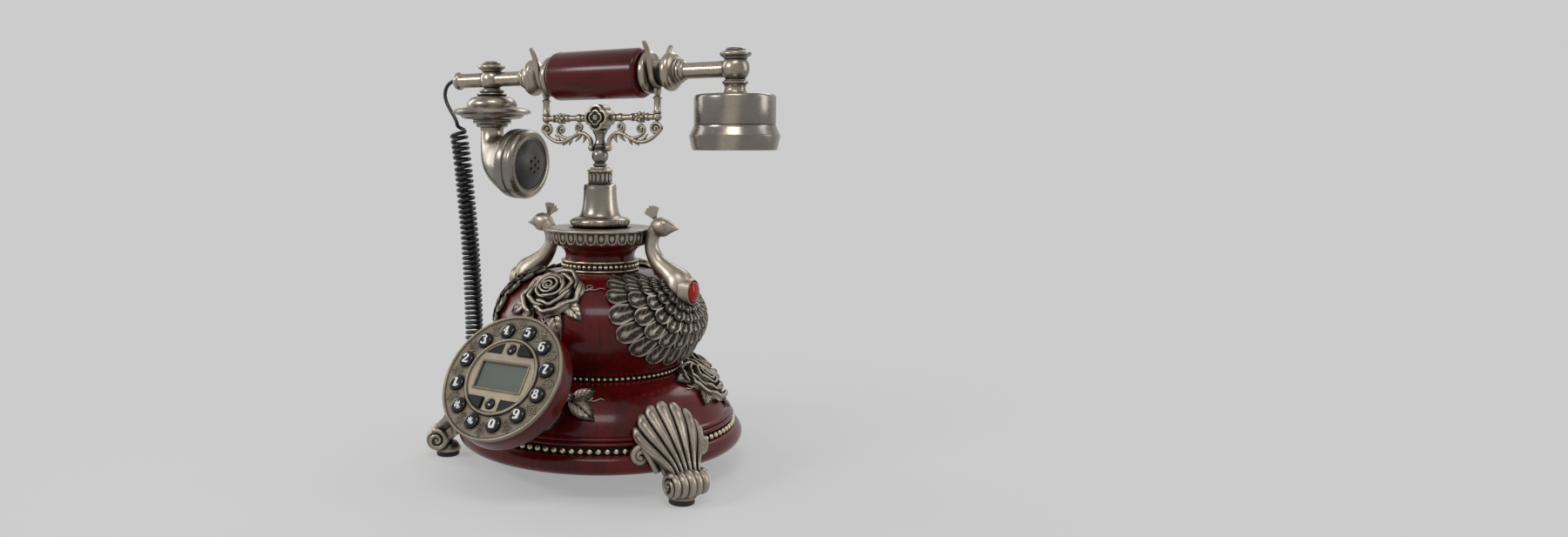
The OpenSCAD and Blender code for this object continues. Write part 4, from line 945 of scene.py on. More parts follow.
def leaf(bm, at, length, width):
    """A pointed leaf along X: a bent blade with a toothed edge and engraved veins."""
    def shape(u, v, sink):
        across = 2 * v - 1
        half = width / 2 * sin(pi * min(1, u * 0.98 + 0.015) ** 0.72) ** 0.8 * (1 - 0.2 * u ** 6)
        teeth = 1 + 0.08 * abs(sin(u * 4.5 * pi)) * abs(across) ** 2
        x, y = length * (u + 0.04 * abs(across) * sin(pi * u)), across * half * teeth
        side = (5.0 * u - 1.3 * abs(across)) % 1.0
        vein = max(0.0, 1 - abs(side - 0.5) / 0.2) * (0.12 < abs(across) < 0.9) * (u < 0.93)
        rib = max(0.0, 1 - abs(across) / 0.13)
        puff = 0.06 * cos(tau * side) * (1 - abs(across))
        lip = 0.06 * max(0.0, (abs(across) - 0.8) / 0.2)
        z = width * (0.20 - 0.05 * max(vein, rib) - puff * 0.6 + lip + 0.10 * across * across - 0.08 * u * u)
        return at @ Vector((x, y, z - 0.2 * width if sink else z)), 0.85 * max(vein, rib)
    tile(bm, 26, 20, shape, 1)


def tendril(bm, points, thick, at):
    """A curled stem through points in the at frame."""
    path = smooth_path([at @ Vector(p) for p in points], 6)
    tube(bm, path, lambda t: thick * (1 - 0.55 * t), 8, side=(0, 0, 1))


def surface_frame(angle, low_point, here, high_point):
    """A frame that stands on a turned ground: Z straight out of it, Y up it."""
    out = Vector((high_point[1] - low_point[1], 0, low_point[0] - high_point[0])).normalized()
    return about_z(angle) @ move(here[0], 0, here[1]) @ turn_to(out)


def vase_frame(angle, z):
    return surface_frame(angle, (vase_radius(z - 1), z - 1), (vase_radius(z), z), (vase_radius(z + 1), z + 1))


def dome_frame(angle, t):
    return surface_frame(angle, dome_point(t - 0.03), dome_point(t), dome_point(t + 0.03))


def lay_on(bm, at, radius):
    """Lowers a flat casting in the at frame along its Z until it lies on a turned ground."""
    out = (at.to_3x3() @ Vector((0, 0, 1))).normalized()
    for vert in bm.verts:
        start, near, far = at @ Vector((vert.co.x, vert.co.y, 0)), 5, -16
        for _ in range(12):
            half = (near + far) / 2
            place = start + out * half
            if hypot(place.x, place.y) > radius(place.z):
                near = half
            else:
                far = half
        vert.co = start + out * (near + vert.co.z)
    if at.determinant() < 0:
        bmesh.ops.reverse_faces(bm, faces=bm.faces)


TENDRIL = ((0.85, 0), (1.05, 0.05), (1.2, 0.22), (1.12, 0.34), (1.02, 0.26), (1.08, 0.12), (1.3, 0.1),
    (1.48, 0.22), (1.62, 0.18))


def spray(bm, frame, radius, r, leaves, tendrils):
    """Leaves and tendrils round a point of the ground: turn, distance out and size as parts of r."""
    part = bmesh.new()
    for turn, out, size in leaves:
        leaf(part, about_z(turn) @ move(out * r, 0, 0), size * r, 0.6 * size * r)
    for turn, mirror, start in tendrils:
        tendril(part, [((x + start) * r, y * r, 0.5) for x, y in TENDRIL], 0.8,
            about_z(turn) @ scaled(1, mirror, 1))
    lay_on(part, frame, radius)
    join(bm, part)


def build_roses():
    bm = bmesh.new()
    rise = middle("vase_roses").z + 1.0
    for angle, seed in ((-90, 1), (90, 2)):
        frame_at = vase_frame(angle, rise)
        join(bm, rose(20.5, 11, frame_at @ move(0, 0, -1.6), seed))
        spray(bm, frame_at, vase_radius, 20.5, ((-28, 0.78, 0.82), (-62, 0.82, 0.82), (-118, 0.82, 0.82),
            (-152, 0.78, 0.82)), ((16, 1, 0.12), (-90, 1, 0.0)))
    stand_in("vase_rose_castings", bm, "vase_roses", "cast pewter", 50)
    bm = bmesh.new()
    for angle, seed in ((14, 3), (166, 4), (49, 5), (131, 6)):
        frame_at = dome_frame(angle, 0.6)
        join(bm, rose(18.5, 10, frame_at @ move(0, 0, -1.2), seed))
        flip = 1 if angle < 90 else -1
        front = angle in (14, 166)
        leaves = ((205, 0.72, 0.9), (155, 0.76, 0.85), (-72, 0.85, 0.6)) if front else ((-22, 0.76, 0.85),
            (24, 0.76, 0.85), (-108, 0.85, 0.6))
        spray(bm, frame_at @ scaled(flip, 1, 1), dome_radius, 18.5, leaves, ((180, -1, 0.05),) if front
            else ((2, 1, 0.05),))
    for side in (-1, 1):
        spray(bm, dome_frame(-90 + side * 19, 0.5) @ scaled(side, 1, 1), dome_radius, 20,
            ((42, 0.1, 0.8), (-34, 0.0, 1.05)), ((4, 1, -0.55),))
    collar = bmesh.new()
    for q, count, top in ((18.4, 5, -33.0), (21.4, 6, -36.5)):
        for k in range(count):
            petal(collar, q, top + sin(2 * k), -50, tau * k / count + q, tau / count * 1.32, 1.55, 0.07, 18,
                1.2)
    for turn in (20, 65, 115, 160):
        leaf(collar, about_z(turn) @ move(17, 0, -38) @ about("Y", 32), 15, 9)
    join(bm, collar, DIAL_AT)
    stand_in("base_rose_castings", bm, "base_roses", "cast pewter", 50)


class PHONE_OT_roses(bpy.types.Operator):
    """Casts the roses, leaves and tendrils of the vase and the base"""
    bl_idname = "phone.roses"
    bl_label = "Roses and leaves"

    def execute(self, context):
        build_roses()
        return {"FINISHED"}


# ---------- legs ----------
FOOT_OUT, PAD_H = 113.9, 4.7
ROLL_R, ROLL_W = 9.4, 26
ROLL_OUT, ROLL_Z = FOOT_OUT + 5.8, PAD_H + ROLL_R + 0.1
LEG_HALF, LEG_TOP = 24.5, 60
FLUTES = 7


def base_radius(z):
    """Radius of the base's outside at a height, rim and ledges smoothed over."""
    table = [(RIM_Z, RIM_R), (RIM_Z + 14, RIM_R - 3), (RIM_Z + 18.5, RIM_R - 6),
        (DOME_Z, DOME_R)] + [(dome_point(t)[1], dome_point(t)[0]) for t in (0.2, 0.4, 0.6, 0.8, 1)]
    return table_lookup(z, [h for h, r in table], [r for h, r in table]) if z > RIM_Z else RIM_R


def shell_point(f, u):
    """A point of the shell's ground: f from side to side, u from the roll up to the rim of lobes."""
    a = radians(80 * f)
    y = LEG_HALF * sin(a)
    z = LEG_TOP - 25 + 23 * cos(a)
    x = sqrt(max(1, (base_radius(z) + 3.2) ** 2 - y * y))
    top = Vector((x, y, z))
    foot = Vector((ROLL_OUT - 1.5, f * (ROLL_W / 2 - 1.6), ROLL_Z + 6.6))
    return bezier((foot, foot + Vector((-5.5, f * 1.2, 9)), top + Vector((11, 0, -8)), top), u)


def leg_shell(bm):
    def shape(u, v, sink):
        f = 2 * v - 1
        ridge = abs(sin(pi * FLUTES * v)) ** 0.55
        lobe = 1.0 + 0.085 * (ridge - 0.5)
        t = u * lobe
        here = shell_point(f, t)
        ahead = shell_point(f, min(t, 1.07) + 0.02) - shell_point(f, t - 0.02)
        across = shell_point(min(f + 0.03, 1.03), t) - shell_point(max(f - 0.03, -1.03), t)
        out = across.cross(ahead)
        out = (out if out.x + 0.6 * out.z > 0 else -out).normalized()
        local = (FLUTES * v) % 1 - 0.5
        swell = 1.4 + 2.1 * sin(pi * (0.25 + 0.62 * u))
        rim = exp(-((u - 0.97) / 0.045) ** 2) * 0.5
        cut = exp(-((abs(local) - 0.2) / 0.045) ** 2) * (0.16 < u < 0.92)
        eye = 0.8 * max(0.0, 1 - ((u - 0.84) / 0.07) ** 2 - (local / 0.17) ** 2) ** 0.5
        stem = 0.35 * max(0, 1 - abs(local) / 0.07) * (0.3 < u < 0.8)
        lift = ridge * swell + rim + (eye + stem - 0.6 * cut) * ridge
        return here + out * (-3.6 if sink else lift), min(1, 0.7 * cut + 1.2 * max(0, 0.55 - ridge))

    tile(bm, 46, FLUTES * 12, shape, 1)


def leg_roll(bm):
    """The barrel of five bands with a wound end on each side."""
    bands = 5
    step = ROLL_W / bands
    profile = [(0, -ROLL_W / 2), (0.5 * ROLL_R, -ROLL_W / 2 + 0.5)]
    for i in range(bands):
        y = -ROLL_W / 2 + i * step
        swell = ROLL_R * (1 - 0.07 * abs(i - 2))
        profile += [(swell - 1.5 + 1.5 * sin(pi * (0.06 + 0.88 * k / 8)) ** 0.6,
            y + step * (0.03 + 0.94 * k / 8)) for k in range(9)]
    profile += [(0.5 * ROLL_R, ROLL_W / 2 - 0.5), (0, ROLL_W / 2)]
    at = move(ROLL_OUT, 0, ROLL_Z) @ about("X", -90)
    spin_profile(bm, profile, 40, at)
    for side in (-1, 1):
        path = []
        for i in range(49):
            t = i / 48
            a = radians(-60 - 610 * t)
            r = ROLL_R * (0.80 - 0.68 * t)
            path.append(Vector((ROLL_OUT + r * cos(a), side * (ROLL_W / 2 - 0.6 + 1.0 * t),
                ROLL_Z - r * sin(a))))
        tube(bm, path, lambda t: 1.9 - 0.7 * t, 10, side=(0, 1, 0))
        ball(bm, 1.6, move(ROLL_OUT, side * (ROLL_W / 2 + 0.2), ROLL_Z), 12, 8)


def leg_web(bm):
    """The body under the shell, from the roll back to the base."""
    def shape(u, v):
        a = tau * v
        z = [ROLL_Z - 0.5, RIM_Z + 4, RIM_Z + 15, LEG_TOP - 22]
        x = [ROLL_OUT - 1, RIM_R + 2.6, RIM_R + 1.4, base_radius(LEG_TOP - 20) + 0.5]
        thick = [ROLL_R * 0.82, 7.2, 5.2, 3]
        wide = [ROLL_W / 2 - 2.5, ROLL_W / 2 - 1, 16.5, 14]
        cx, cz, t, w = (bezier([(k, 0, 0) for k in row], u).x for row in (x, z, thick, wide))
        r = 0.02 if u in (0, 1) else 1
        c, s = cos(a), sin(a)
        return Vector((cx + r * t * abs(c) ** 0.8 * copysign(0.9, c), r * w * abs(s) ** 0.7 * copysign(1, s),
            cz + 0.35 * r * t * c))

    part = patch(18, 28, shape)
    finish_mesh(part, 10 * WELD)
    join(bm, part)
    for side in (-1, 1):
        # The small volutes that lie on the row of beads
        path = []
        for i in range(45):
            t = i / 44
            a = radians(100 - 560 * t)
            r = 5.6 - 4.5 * t
            turn = (0.226 + r * cos(a) / RIM_R) * side
            z = RIM_Z + 13.6 + r * sin(a)
            out = RIM_R - 1.4 + 1.6 * t
            path.append(Vector((out * cos(turn), out * sin(turn), z)))
        stem = [Vector(((RIM_R + 2.2) * cos(side * k), (RIM_R + 2.2) * sin(side * k), RIM_Z + h)) for k,
            h in ((0.12, 2.5), (0.15, 8), (0.185, 14.5))]
        tube(bm, smooth_path(stem + [path[0]], 5) + path[1:], lambda t: 2.6 - 1.0 * t, 10, side=(1, 0, 0))
        end = path[-1]
        ball(bm, 1.9, move(*end), 12, 8)


def build_legs():
    for name, angle in (("leg_front_left", -150), ("leg_front_right", -30), ("leg_rear", 90)):
        bm = bmesh.new()
        leg_shell(bm)
        leg_roll(bm)
        leg_web(bm)
        spin_profile(bm, [(0, PAD_H - 0.6), (9.4, PAD_H - 0.6), (9.4, PAD_H + 1.5), (7, PAD_H + 5),
            (0, PAD_H + 5), (0, PAD_H - 0.6)], 32, move(FOOT_OUT, 0, 0))
        place(bm, about_z(angle))
        stand_in(name + "_casting", bm, name, "cast pewter", 60)
    bm = bmesh.new()
    for angle in (-150, -30, 90):
        spin_profile(bm, [(0, 0), (7.8, 0), (8.3, 0.3), (8.45, 0.9), (8.45, 3.9), (8.1, PAD_H), (0, PAD_H),
            (0, 0)], 40, about_z(angle) @ move(FOOT_OUT, 0, 0))
    stand_in("foot_pad_discs", bm, "foot_pads", "pad rubber")


class PHONE_OT_legs(bpy.types.Operator):
    """Casts the three shell legs with their fluted rolls"""
    bl_idname = "phone.legs"
    bl_label = "Shell legs"

    def execute(self, context):
        build_legs()
        return {"FINISHED"}


# ---------- pedestal ----------
def build_pedestal():
    foot, bell_top = low("pedestal_bell").z, low("fluted_collar").z
    foot_r, foot_top = high("pedestal_bell").x, foot + 6.9
    flare, top_r = foot_r - 4.6, 11.4
    bm = bmesh.new()
    curve = [(flare - (flare - top_r - 0.5) * sin(a) ** 0.8, foot_top + (bell_top - foot_top - 2.6)
        * (1 - cos(a))) for a in (pi / 2 * i / 20 for i in range(21))]
    spin_profile(bm, [(4.3, foot), (foot_r - 1.3, foot), *arc(foot_r - 3.3, foot + 3.3, 3.3, -80, 80, 8),
        (foot_r - 3.9, foot_top - 0.1), (flare + 0.3, foot_top), *curve, (top_r + 0.35, bell_top - 2.2),
        (top_r + 0.35, bell_top - 1), (top_r - 0.4, bell_top - 0.25), (4.3, bell_top - 0.1), (4.3, foot)], 96)
    for i in range(22):
        # Engraved scrolls round the foot ring, standing a little proud
        a0 = 360 * i / 22
        path = []
        for k in range(19):
            t = k / 18
            turn, r = tau * 1.1 * t, 1.75 - 1.35 * t
            a = radians(a0) + r * cos(turn) * (1 if i % 2 else -1) / foot_r
            z = foot + 3.3 + r * sin(turn)
            out = foot_r - 3.3 + 3.3 * sqrt(max(0, 1 - ((z - foot - 3.3) / 3.3) ** 2))
            path.append(Vector((out * cos(a), out * sin(a), z)))
        tube(bm, path, lambda t: 0.34 - 0.12 * t, 5, side=(cos(radians(a0)), sin(radians(a0)), 0))
    stand_in("pedestal_turning", bm, "pedestal_bell", "turned pewter")

    bm = bmesh.new()
    z0, z1 = bell_top, high("fluted_collar").z
    r = 8.0
    spin_profile(bm, [(4.15, z0), (r + 0.4, z0), (r + 0.9, z0 + 0.7), (r + 0.3, z0 + 1.2),
        (r - 0.4, z0 + 1.5), (r - 0.2, z1 - 4.0), (r + 1.1, z1 - 3.4), *arc(r + 0.4, z1 - 2.5, 0.85, -50, 60,
        5), (r - 0.7, z1 - 1.2), (r - 1.2, z1), (4.15, z1), (4.15, z0)], 64)
    count = 16
    for i in range(count):
        turn = tau * i / count

        def leaf_flute(u, v, sink, turn=turn):
            across = 2 * v - 1
            shape_w = 0.9 if u > 0.35 else 0.55 + u
            tip = max(0.0, (u - 0.6) / 0.4)
            w = shape_w * sqrt(max(0, 1 - tip ** 2.2)) * 0.92
            lift = 0.35 + 0.85 * (1 - across ** 2) + 0.3 * tip
            a = turn + across * w * pi / count
            q = r - 0.4 + (lift if not sink else -0.3)
            return Vector((q * cos(a), q * sin(a), z0 + 1.6 + (z1 - z0 - 5.8) * u))

        tile(bm, 8, 6, leaf_flute, 1)
    stand_in("collar_leaves", bm, "fluted_collar", "cast pewter", 60)


class PHONE_OT_pedestal(bpy.types.Operator):
    """Turns the pedestal's bell, its engraved foot ring and its leaf collar"""
    bl_idname = "phone.pedestal"
    bl_label = "Pedestal"

    def execute(self, context):
        build_pedestal()
        return {"FINISHED"}


# ---------- cradle ----------
SIDE_BLOCK_X = 33.7


def plane_path(points, side=1):
    """Points given across and up from the bar's middle, put in the cradle's plane."""
    return [Vector((side * x, 0, BAR_Z + z)) for x, z in points]


def quatrefoil(bm, at, r, thick, dish=True):
    """A block with four lobes, its two faces sunk inside a raised rim."""
    part = bmesh.new()
    sunk = part.verts.layers.float.new("sunk")
    n = 48
    loop = []
    for i in range(n):
        a = tau * i / n
        q = r * (0.80 + 0.20 * abs(cos(2 * a)) ** 0.6)
        loop.append(part.verts.new((q * cos(a), q * sin(a), -thick / 2)))
    face = part.faces.new(loop)
    bmesh.ops.recalc_face_normals(part, faces=part.faces)
    out = bmesh.ops.extrude_face_region(part, geom=[face])
    top = [v for v in out["geom"] if isinstance(v, bmesh.types.BMVert)]
    bmesh.ops.translate(part, verts=top, vec=(0, 0, thick))
    bmesh.ops.recalc_face_normals(part, faces=part.faces)
    caps = [f for f in part.faces if abs(f.normal.z) > 0.9]
    rims = [e for f in caps for e in f.edges]
    bmesh.ops.bevel(part, geom=rims, offset=0.05 * r, offset_type="OFFSET", segments=2, profile=0.5,
        affect="EDGES", material=-1)
    if dish:
        caps = [f for f in part.faces if abs(f.normal.z) > 0.95 and len(f.verts) > 8]
        for cap in caps:
            bmesh.ops.inset_region(part, faces=[cap], thickness=0.13 * r, depth=0)
            bmesh.ops.inset_region(part, faces=[cap], thickness=0.04 * r, depth=-0.12 * r)
            for vert in cap.verts:
                vert[sunk] = 0.9
    join(bm, part, at)


def mount_flower(bm, at, r, petals):
    for i in range(petals):
        petal_at = at @ about_z(360 * i / petals) @ move(0.48 * r, 0, 0.05 * r) @ scaled(0.46, 0.30, 0.22)
        ball(bm, r, petal_at, 10, 8)
    ball(bm, 0.24 * r, at @ move(0, 0, 0.16 * r), 10, 8)


def scrollwork(bm, side, fork_x):
    base = -15.7
    end_x = fork_x - 1.2
    arm = [(7.4, base - 5.2), (8.2, base + 0.2), (12.6, base + 4.2), (18, base + 4.6), (24, base + 1.8),
        (30, base - 0.9), (36, base - 1.6), (42, base + 0.2), (47.2, base + 4.0), (end_x + 4.4, -8.2)]

    def bar(points, start, end, flat=1.25):
        tube(bm, plane_path(points, side), lambda t: start + (end - start) * t, 8, side=(0, 1, 0), flat=flat)

    outer = spiral(end_x, -8.2, 4.4, 0, 520, 0.22, 40)
    bar(smooth_flat(arm, 5) + outer[1:], 1.6, 1.05)
    for x, z, r, start, turn in ((SIDE_BLOCK_X, -8.4, 3.7, -60, 460), (17.5, -6.9, 3.3, -60, 460)):
        curl = spiral(x, z, r, start, turn, 0.22, 40)
        if x > 20:
            stem = [(24.5, base + 1.5), (29, base + 1.2), (33, base + 2.4)]
        else:
            stem = [(12, base + 3.8), (14.6, base + 4.6), (17, base + 5.6)]
        bar(smooth_flat(stem + [curl[0]], 5) + curl[1:], 1.25, 0.95)
        ball(bm, 1.0, move(side * (x + 0.2), 0, BAR_Z + z) @ scaled(1, 1.5, 1), 10, 8)
    ball(bm, 1.3, move(side * end_x, 0, BAR_Z - 8.2) @ scaled(1, 1.4, 1), 10, 8)
    for x, z, angle, length in ((13, base + 4, -104, 6.4), (16.5, base + 4.4, -70, 6.2),
            (25.5, base + 1, -100, 5), (28.6, base - 0.2, -60, 4.6), (35.5, base - 1, 70, 5.4)):
        a = radians(angle)
        bend = 0.9 * length
        points = [(x + cos(a) * length * t + sin(a) * bend * t * t * (1 if angle < 0 else -1) * -0.6,
            z + sin(a) * length * t) for t in (0, 0.25, 0.5, 0.75, 1)]
        path = plane_path(smooth_flat(points, 3), side)
        tube(bm, path, lambda t: (0.5 + 1.3 * sin(pi * min(1, 0.2 + 0.8 * t)) ** 0.8) * (1 - 0.5 * t), 8,
            side=(0, 1, 0), flat=0.9)
    ball(bm, 2.6, move(side * 7.2, 0, BAR_Z + base - 5.8), 16, 12)
    tube(bm, plane_path([(7.2, base - 5.2), (5.2, base - 3.6), (3.6, base - 2.6)], side), 1.2, 8)


def fork(bm, x):
    rest = 7.75
    thick, width = 3.2, 4.5
    tine_up = high("cradle_forks").z - AXIS_Z
    line = [Vector((0, y, z)) for y, z in arc(0, 0, rest + 1.6, -90, -35, 5)]
    line += [bezier((line[-1], (0, 11.6, -0.5), (0, 11.2, tine_up * 0.55), (0, 18.8, tine_up - 1.6)), i / 12)
        for i in range(1, 13)]
    line += [Vector((0, 20.4, tine_up - 1.0))]
    both = [Vector((0, -p.y, p.z)) for p in reversed(line[1:])] + line
    path = [Vector((x, p.y, AXIS_Z + p.z)) for p in both]
    n = len(path) - 1

    def radius(t):
        away = abs(2 * t - 1)
        return thick / 2 * (1.05 - 0.42 * away ** 2)

    def shape(u, v):
        i = min(round(u * n), n)
        ahead = (path[min(i + 1, n)] - path[max(i - 1, 0)]).normalized()
        e1 = Vector((1, 0, 0)).cross(ahead).normalized()
        a = tau * v
        c, s = cos(a), sin(a)
        r = radius(i / n) * (0.05 if i in (0, n) else 1)
        w = width / 2 * (1.02 - 0.35 * abs(2 * i / n - 1) ** 3) * (0.05 if i in (0, n) else 1)
        return path[i] + e1 * r * abs(c) ** 0.7 * copysign(1, c) + Vector((w * abs(s) ** 0.7 * copysign(1, s),
            0, 0))

    part = patch(n, 16, shape)
    finish_mesh(part, 2 * WELD)
    join(bm, part)
    top = AXIS_Z - (rest + 1.6)
    spin_profile(bm, [(0, BAR_Z + 2.4), (3.0, BAR_Z + 2.4), (3.2, BAR_Z + 3.2), (2.5, BAR_Z + 4),
        (2.4, top - 9.4), (3.1, top - 8.8), (3.3, top - 8), (2.7, top - 7.2), (0, top - 7), (0, BAR_Z + 2.4)],
        32, move(x, 0, 0))
    spin_profile(bm, [(0, top - 7.4), (2.6, top - 7.4), (3.2, top - 5.8), (4.1, top - 3.8), (4.3, top - 2.2),
        (3.6, top - 0.8), (0, top - 0.2), (0, top - 7.4)], 32, move(x, 0, 0) @ scaled(0.51, 1, 1))


def build_cradle():
    z0, top = low("cradle_post").z, high("cradle_post").z
    ball_r, ball_z = high("cradle_post").x, high("fluted_collar").z + 8.3
    plunger = 4.0
    neck = [(3.4, 0), (4.1, 1.1), (3.7, 2.4), (3.3, 4), (3.7, 6.5), (4.6, 8.4), (5.4, 9.4), (5.4, 10.2),
        (4.6, 10.8)]
    neck_z = top - 10.8
    turned("cradle_post_turning", [(0, z0), (plunger - 0.5, z0), (plunger, z0 + 0.5),
        (plunger, ball_z - ball_r - 1.8), (4.9, ball_z - ball_r - 1.3), (5.0, ball_z - ball_r + 0.1),
        (4.2, ball_z - ball_r + 0.7), *arc(0, ball_z, ball_r, -52, 56, 16), (3.9, ball_z + 5.6),
        (4.4, ball_z + 6.4), (3.5, ball_z + 7.2), *[(r, neck_z + z) for r, z in neck], (0, top), (0, z0)], 64,
        "cradle_post", "turned pewter", body="cradle")

    bm = bmesh.new()
    fork_x = high("cradle_bar").x - 3.1
    along = move(0, 0, BAR_Z) @ about("Y", 90)
    half = [(2.1, 8), (2.1, 12.4), (2.7, 12.9), (2.7, 14), (2.1, 14.5), (2.1, 15.2), (2.9, 15.9), (3.1, 17.5),
        (2.9, 19.1), (2.1, 19.8), (2.1, 26.2), (2.9, 26.8), (2.9, 28.4), (2.1, 29), (2.1, 38.4), (2.9, 39),
        (2.9, 40.4), (2.1, 41), (2.1, fork_x - 3.0)]
    outline = half + arc(0, fork_x, 3.1, -50, 90, 14)
    spin_profile(bm, [(r, -x) for r, x in reversed(outline)] + outline, 32, along)
    quatrefoil(bm, move(0, 0, BAR_Z) @ about("X", 90), 9.6, 13)
    for side in (-1, 1):
        face = move(0, side * 6.1, BAR_Z) @ about("X", -90 * side)
        quatrefoil(bm, face, 5.6, 1.6)
        mount_flower(bm, face @ move(0, 0, 0.4), 2.6, 6)
        for x in (-SIDE_BLOCK_X, SIDE_BLOCK_X):
            mount_flower(bm, move(x, side * 2.6, BAR_Z) @ about("X", -90 * side), 4.4, 5)
    for x in (-SIDE_BLOCK_X, SIDE_BLOCK_X):
        quatrefoil(bm, move(x, 0, BAR_Z) @ about("X", 90), 4.0, 4.6, False)
    spin_profile(bm, [(0, -9.8), (3.6, -9.8), (4.2, -9.0), (3.4, -7.6), (0, -7.6), (0, -9.8)], 32,
        move(0, 0, BAR_Z))
    stand_in("cradle_bar_casting", bm, "cradle_bar", "cast pewter", 40, body="cradle")

    bm = bmesh.new()
    for side in (-1, 1):
        scrollwork(bm, side, fork_x)
    stand_in("cradle_scrollwork", bm, "cradle_scrolls", "cast pewter", 60, body="cradle")

    bm = bmesh.new()
    for side in (-1, 1):
        fork(bm, side * fork_x)
    stand_in("cradle_fork_castings", bm, "cradle_forks", "cast pewter", 50, body="cradle")


class PHONE_OT_cradle(bpy.types.Operator):
    """Models the cradle: post, bar, scrolls and forks"""
    bl_idname = "phone.cradle"
    bl_label = "Cradle"

    def execute(self, context):
        build_cradle()
        return {"FINISHED"}


# ---------- handset ----------
MOUTH_X, EAR_X = -98.6, 106
HORN_TOP, TILT = -38.8, 4


def along_axis():
    """Z of a turning laid along the handset."""
    return move(0, 0, AXIS_Z) @ about("Y", 90)


def boss(r):
    """Turned cap and ball that both ends share, as (radius, height from the axis)."""
    return [(0, 14.1), (3.2, 14.0), (5.2, 13.7), (6.3, 13.1), (6.7, 12.3), (6.5, 11.7), (8.2, 11.3),
        *arc(9.1, 9.5, 1.4, 70, -80, 8), (8.8, 7.8), (7.9, 7.2), (7.6, 6.4), *arc(0, 0, r, 42, -48, 18)]


def handle():
    half, r = GRIP_HALF, high("grip").z - AXIS_Z
    outline = [(5.55, half)] + arc(r - 3.2, half - 3.2, 3.2, 90, 0, 8)
    turned("grip_turning", [(q, -x) for q, x in outline] + outline[::-1] + [(5.55, -half)], 96, "grip",
        "grip lacquer", 50, body="handset", at=along_axis())
    rest_end = 50.05
    big, big_r = rest_end + 7.8, 13.5
    side = [(5.5, half + 0.1), (12.2, half + 0.1), (12.6, half + 0.5), (12.5, half + 1.1), (13.6, half + 1.4),
        (14.3, half + 1.9), (14.6, half + 2.7), (14.6, half + 4.9), (14.2, half + 5.6), (13.0, half + 6.3),
        (9.2, half + 7.0), (7.8, half + 7.3), (7.4, half + 7.9), (7.4, rest_end), (8.0, rest_end + 0.7),
        (9.0, rest_end + 2.2), (11.0, rest_end + 3.4)]
    side += arc(big_r - 3.6, big, 3.6, -62, 78, 12)
    side += [(9.6, big + 3.9), (9.0, big + 4.4), (9.2, big + 5.0), (9.4, big + 5.8), (8.9, big + 6.3),
        (7.8, big + 6.6), (8.1, big + 7.4), (7.9, big + 8.4), (6.8, big + 8.8), (6.7, big + 10.4),
        (6.3, big + 11.2), (5.5, big + 11.8)]
    end_x = -low("handle_tube").x
    tail = [(0, -end_x), (5.9, -end_x), (6.5, 0.3 - end_x), (6.9, 1.0 - end_x), (6.9, 2.6 - end_x),
        (6.5, 3.3 - end_x), (5.9, 3.7 - end_x), (5.5, 4.4 - end_x)]
    profile = tail + [(r, -x) for r, x in reversed(side)] + side + [(5.5, EAR_X), (0, EAR_X), (0, -end_x)]
    turned("handle_turning", profile, 72, "handle_tube", "handset pewter", 40, body="handset",
        at=along_axis())


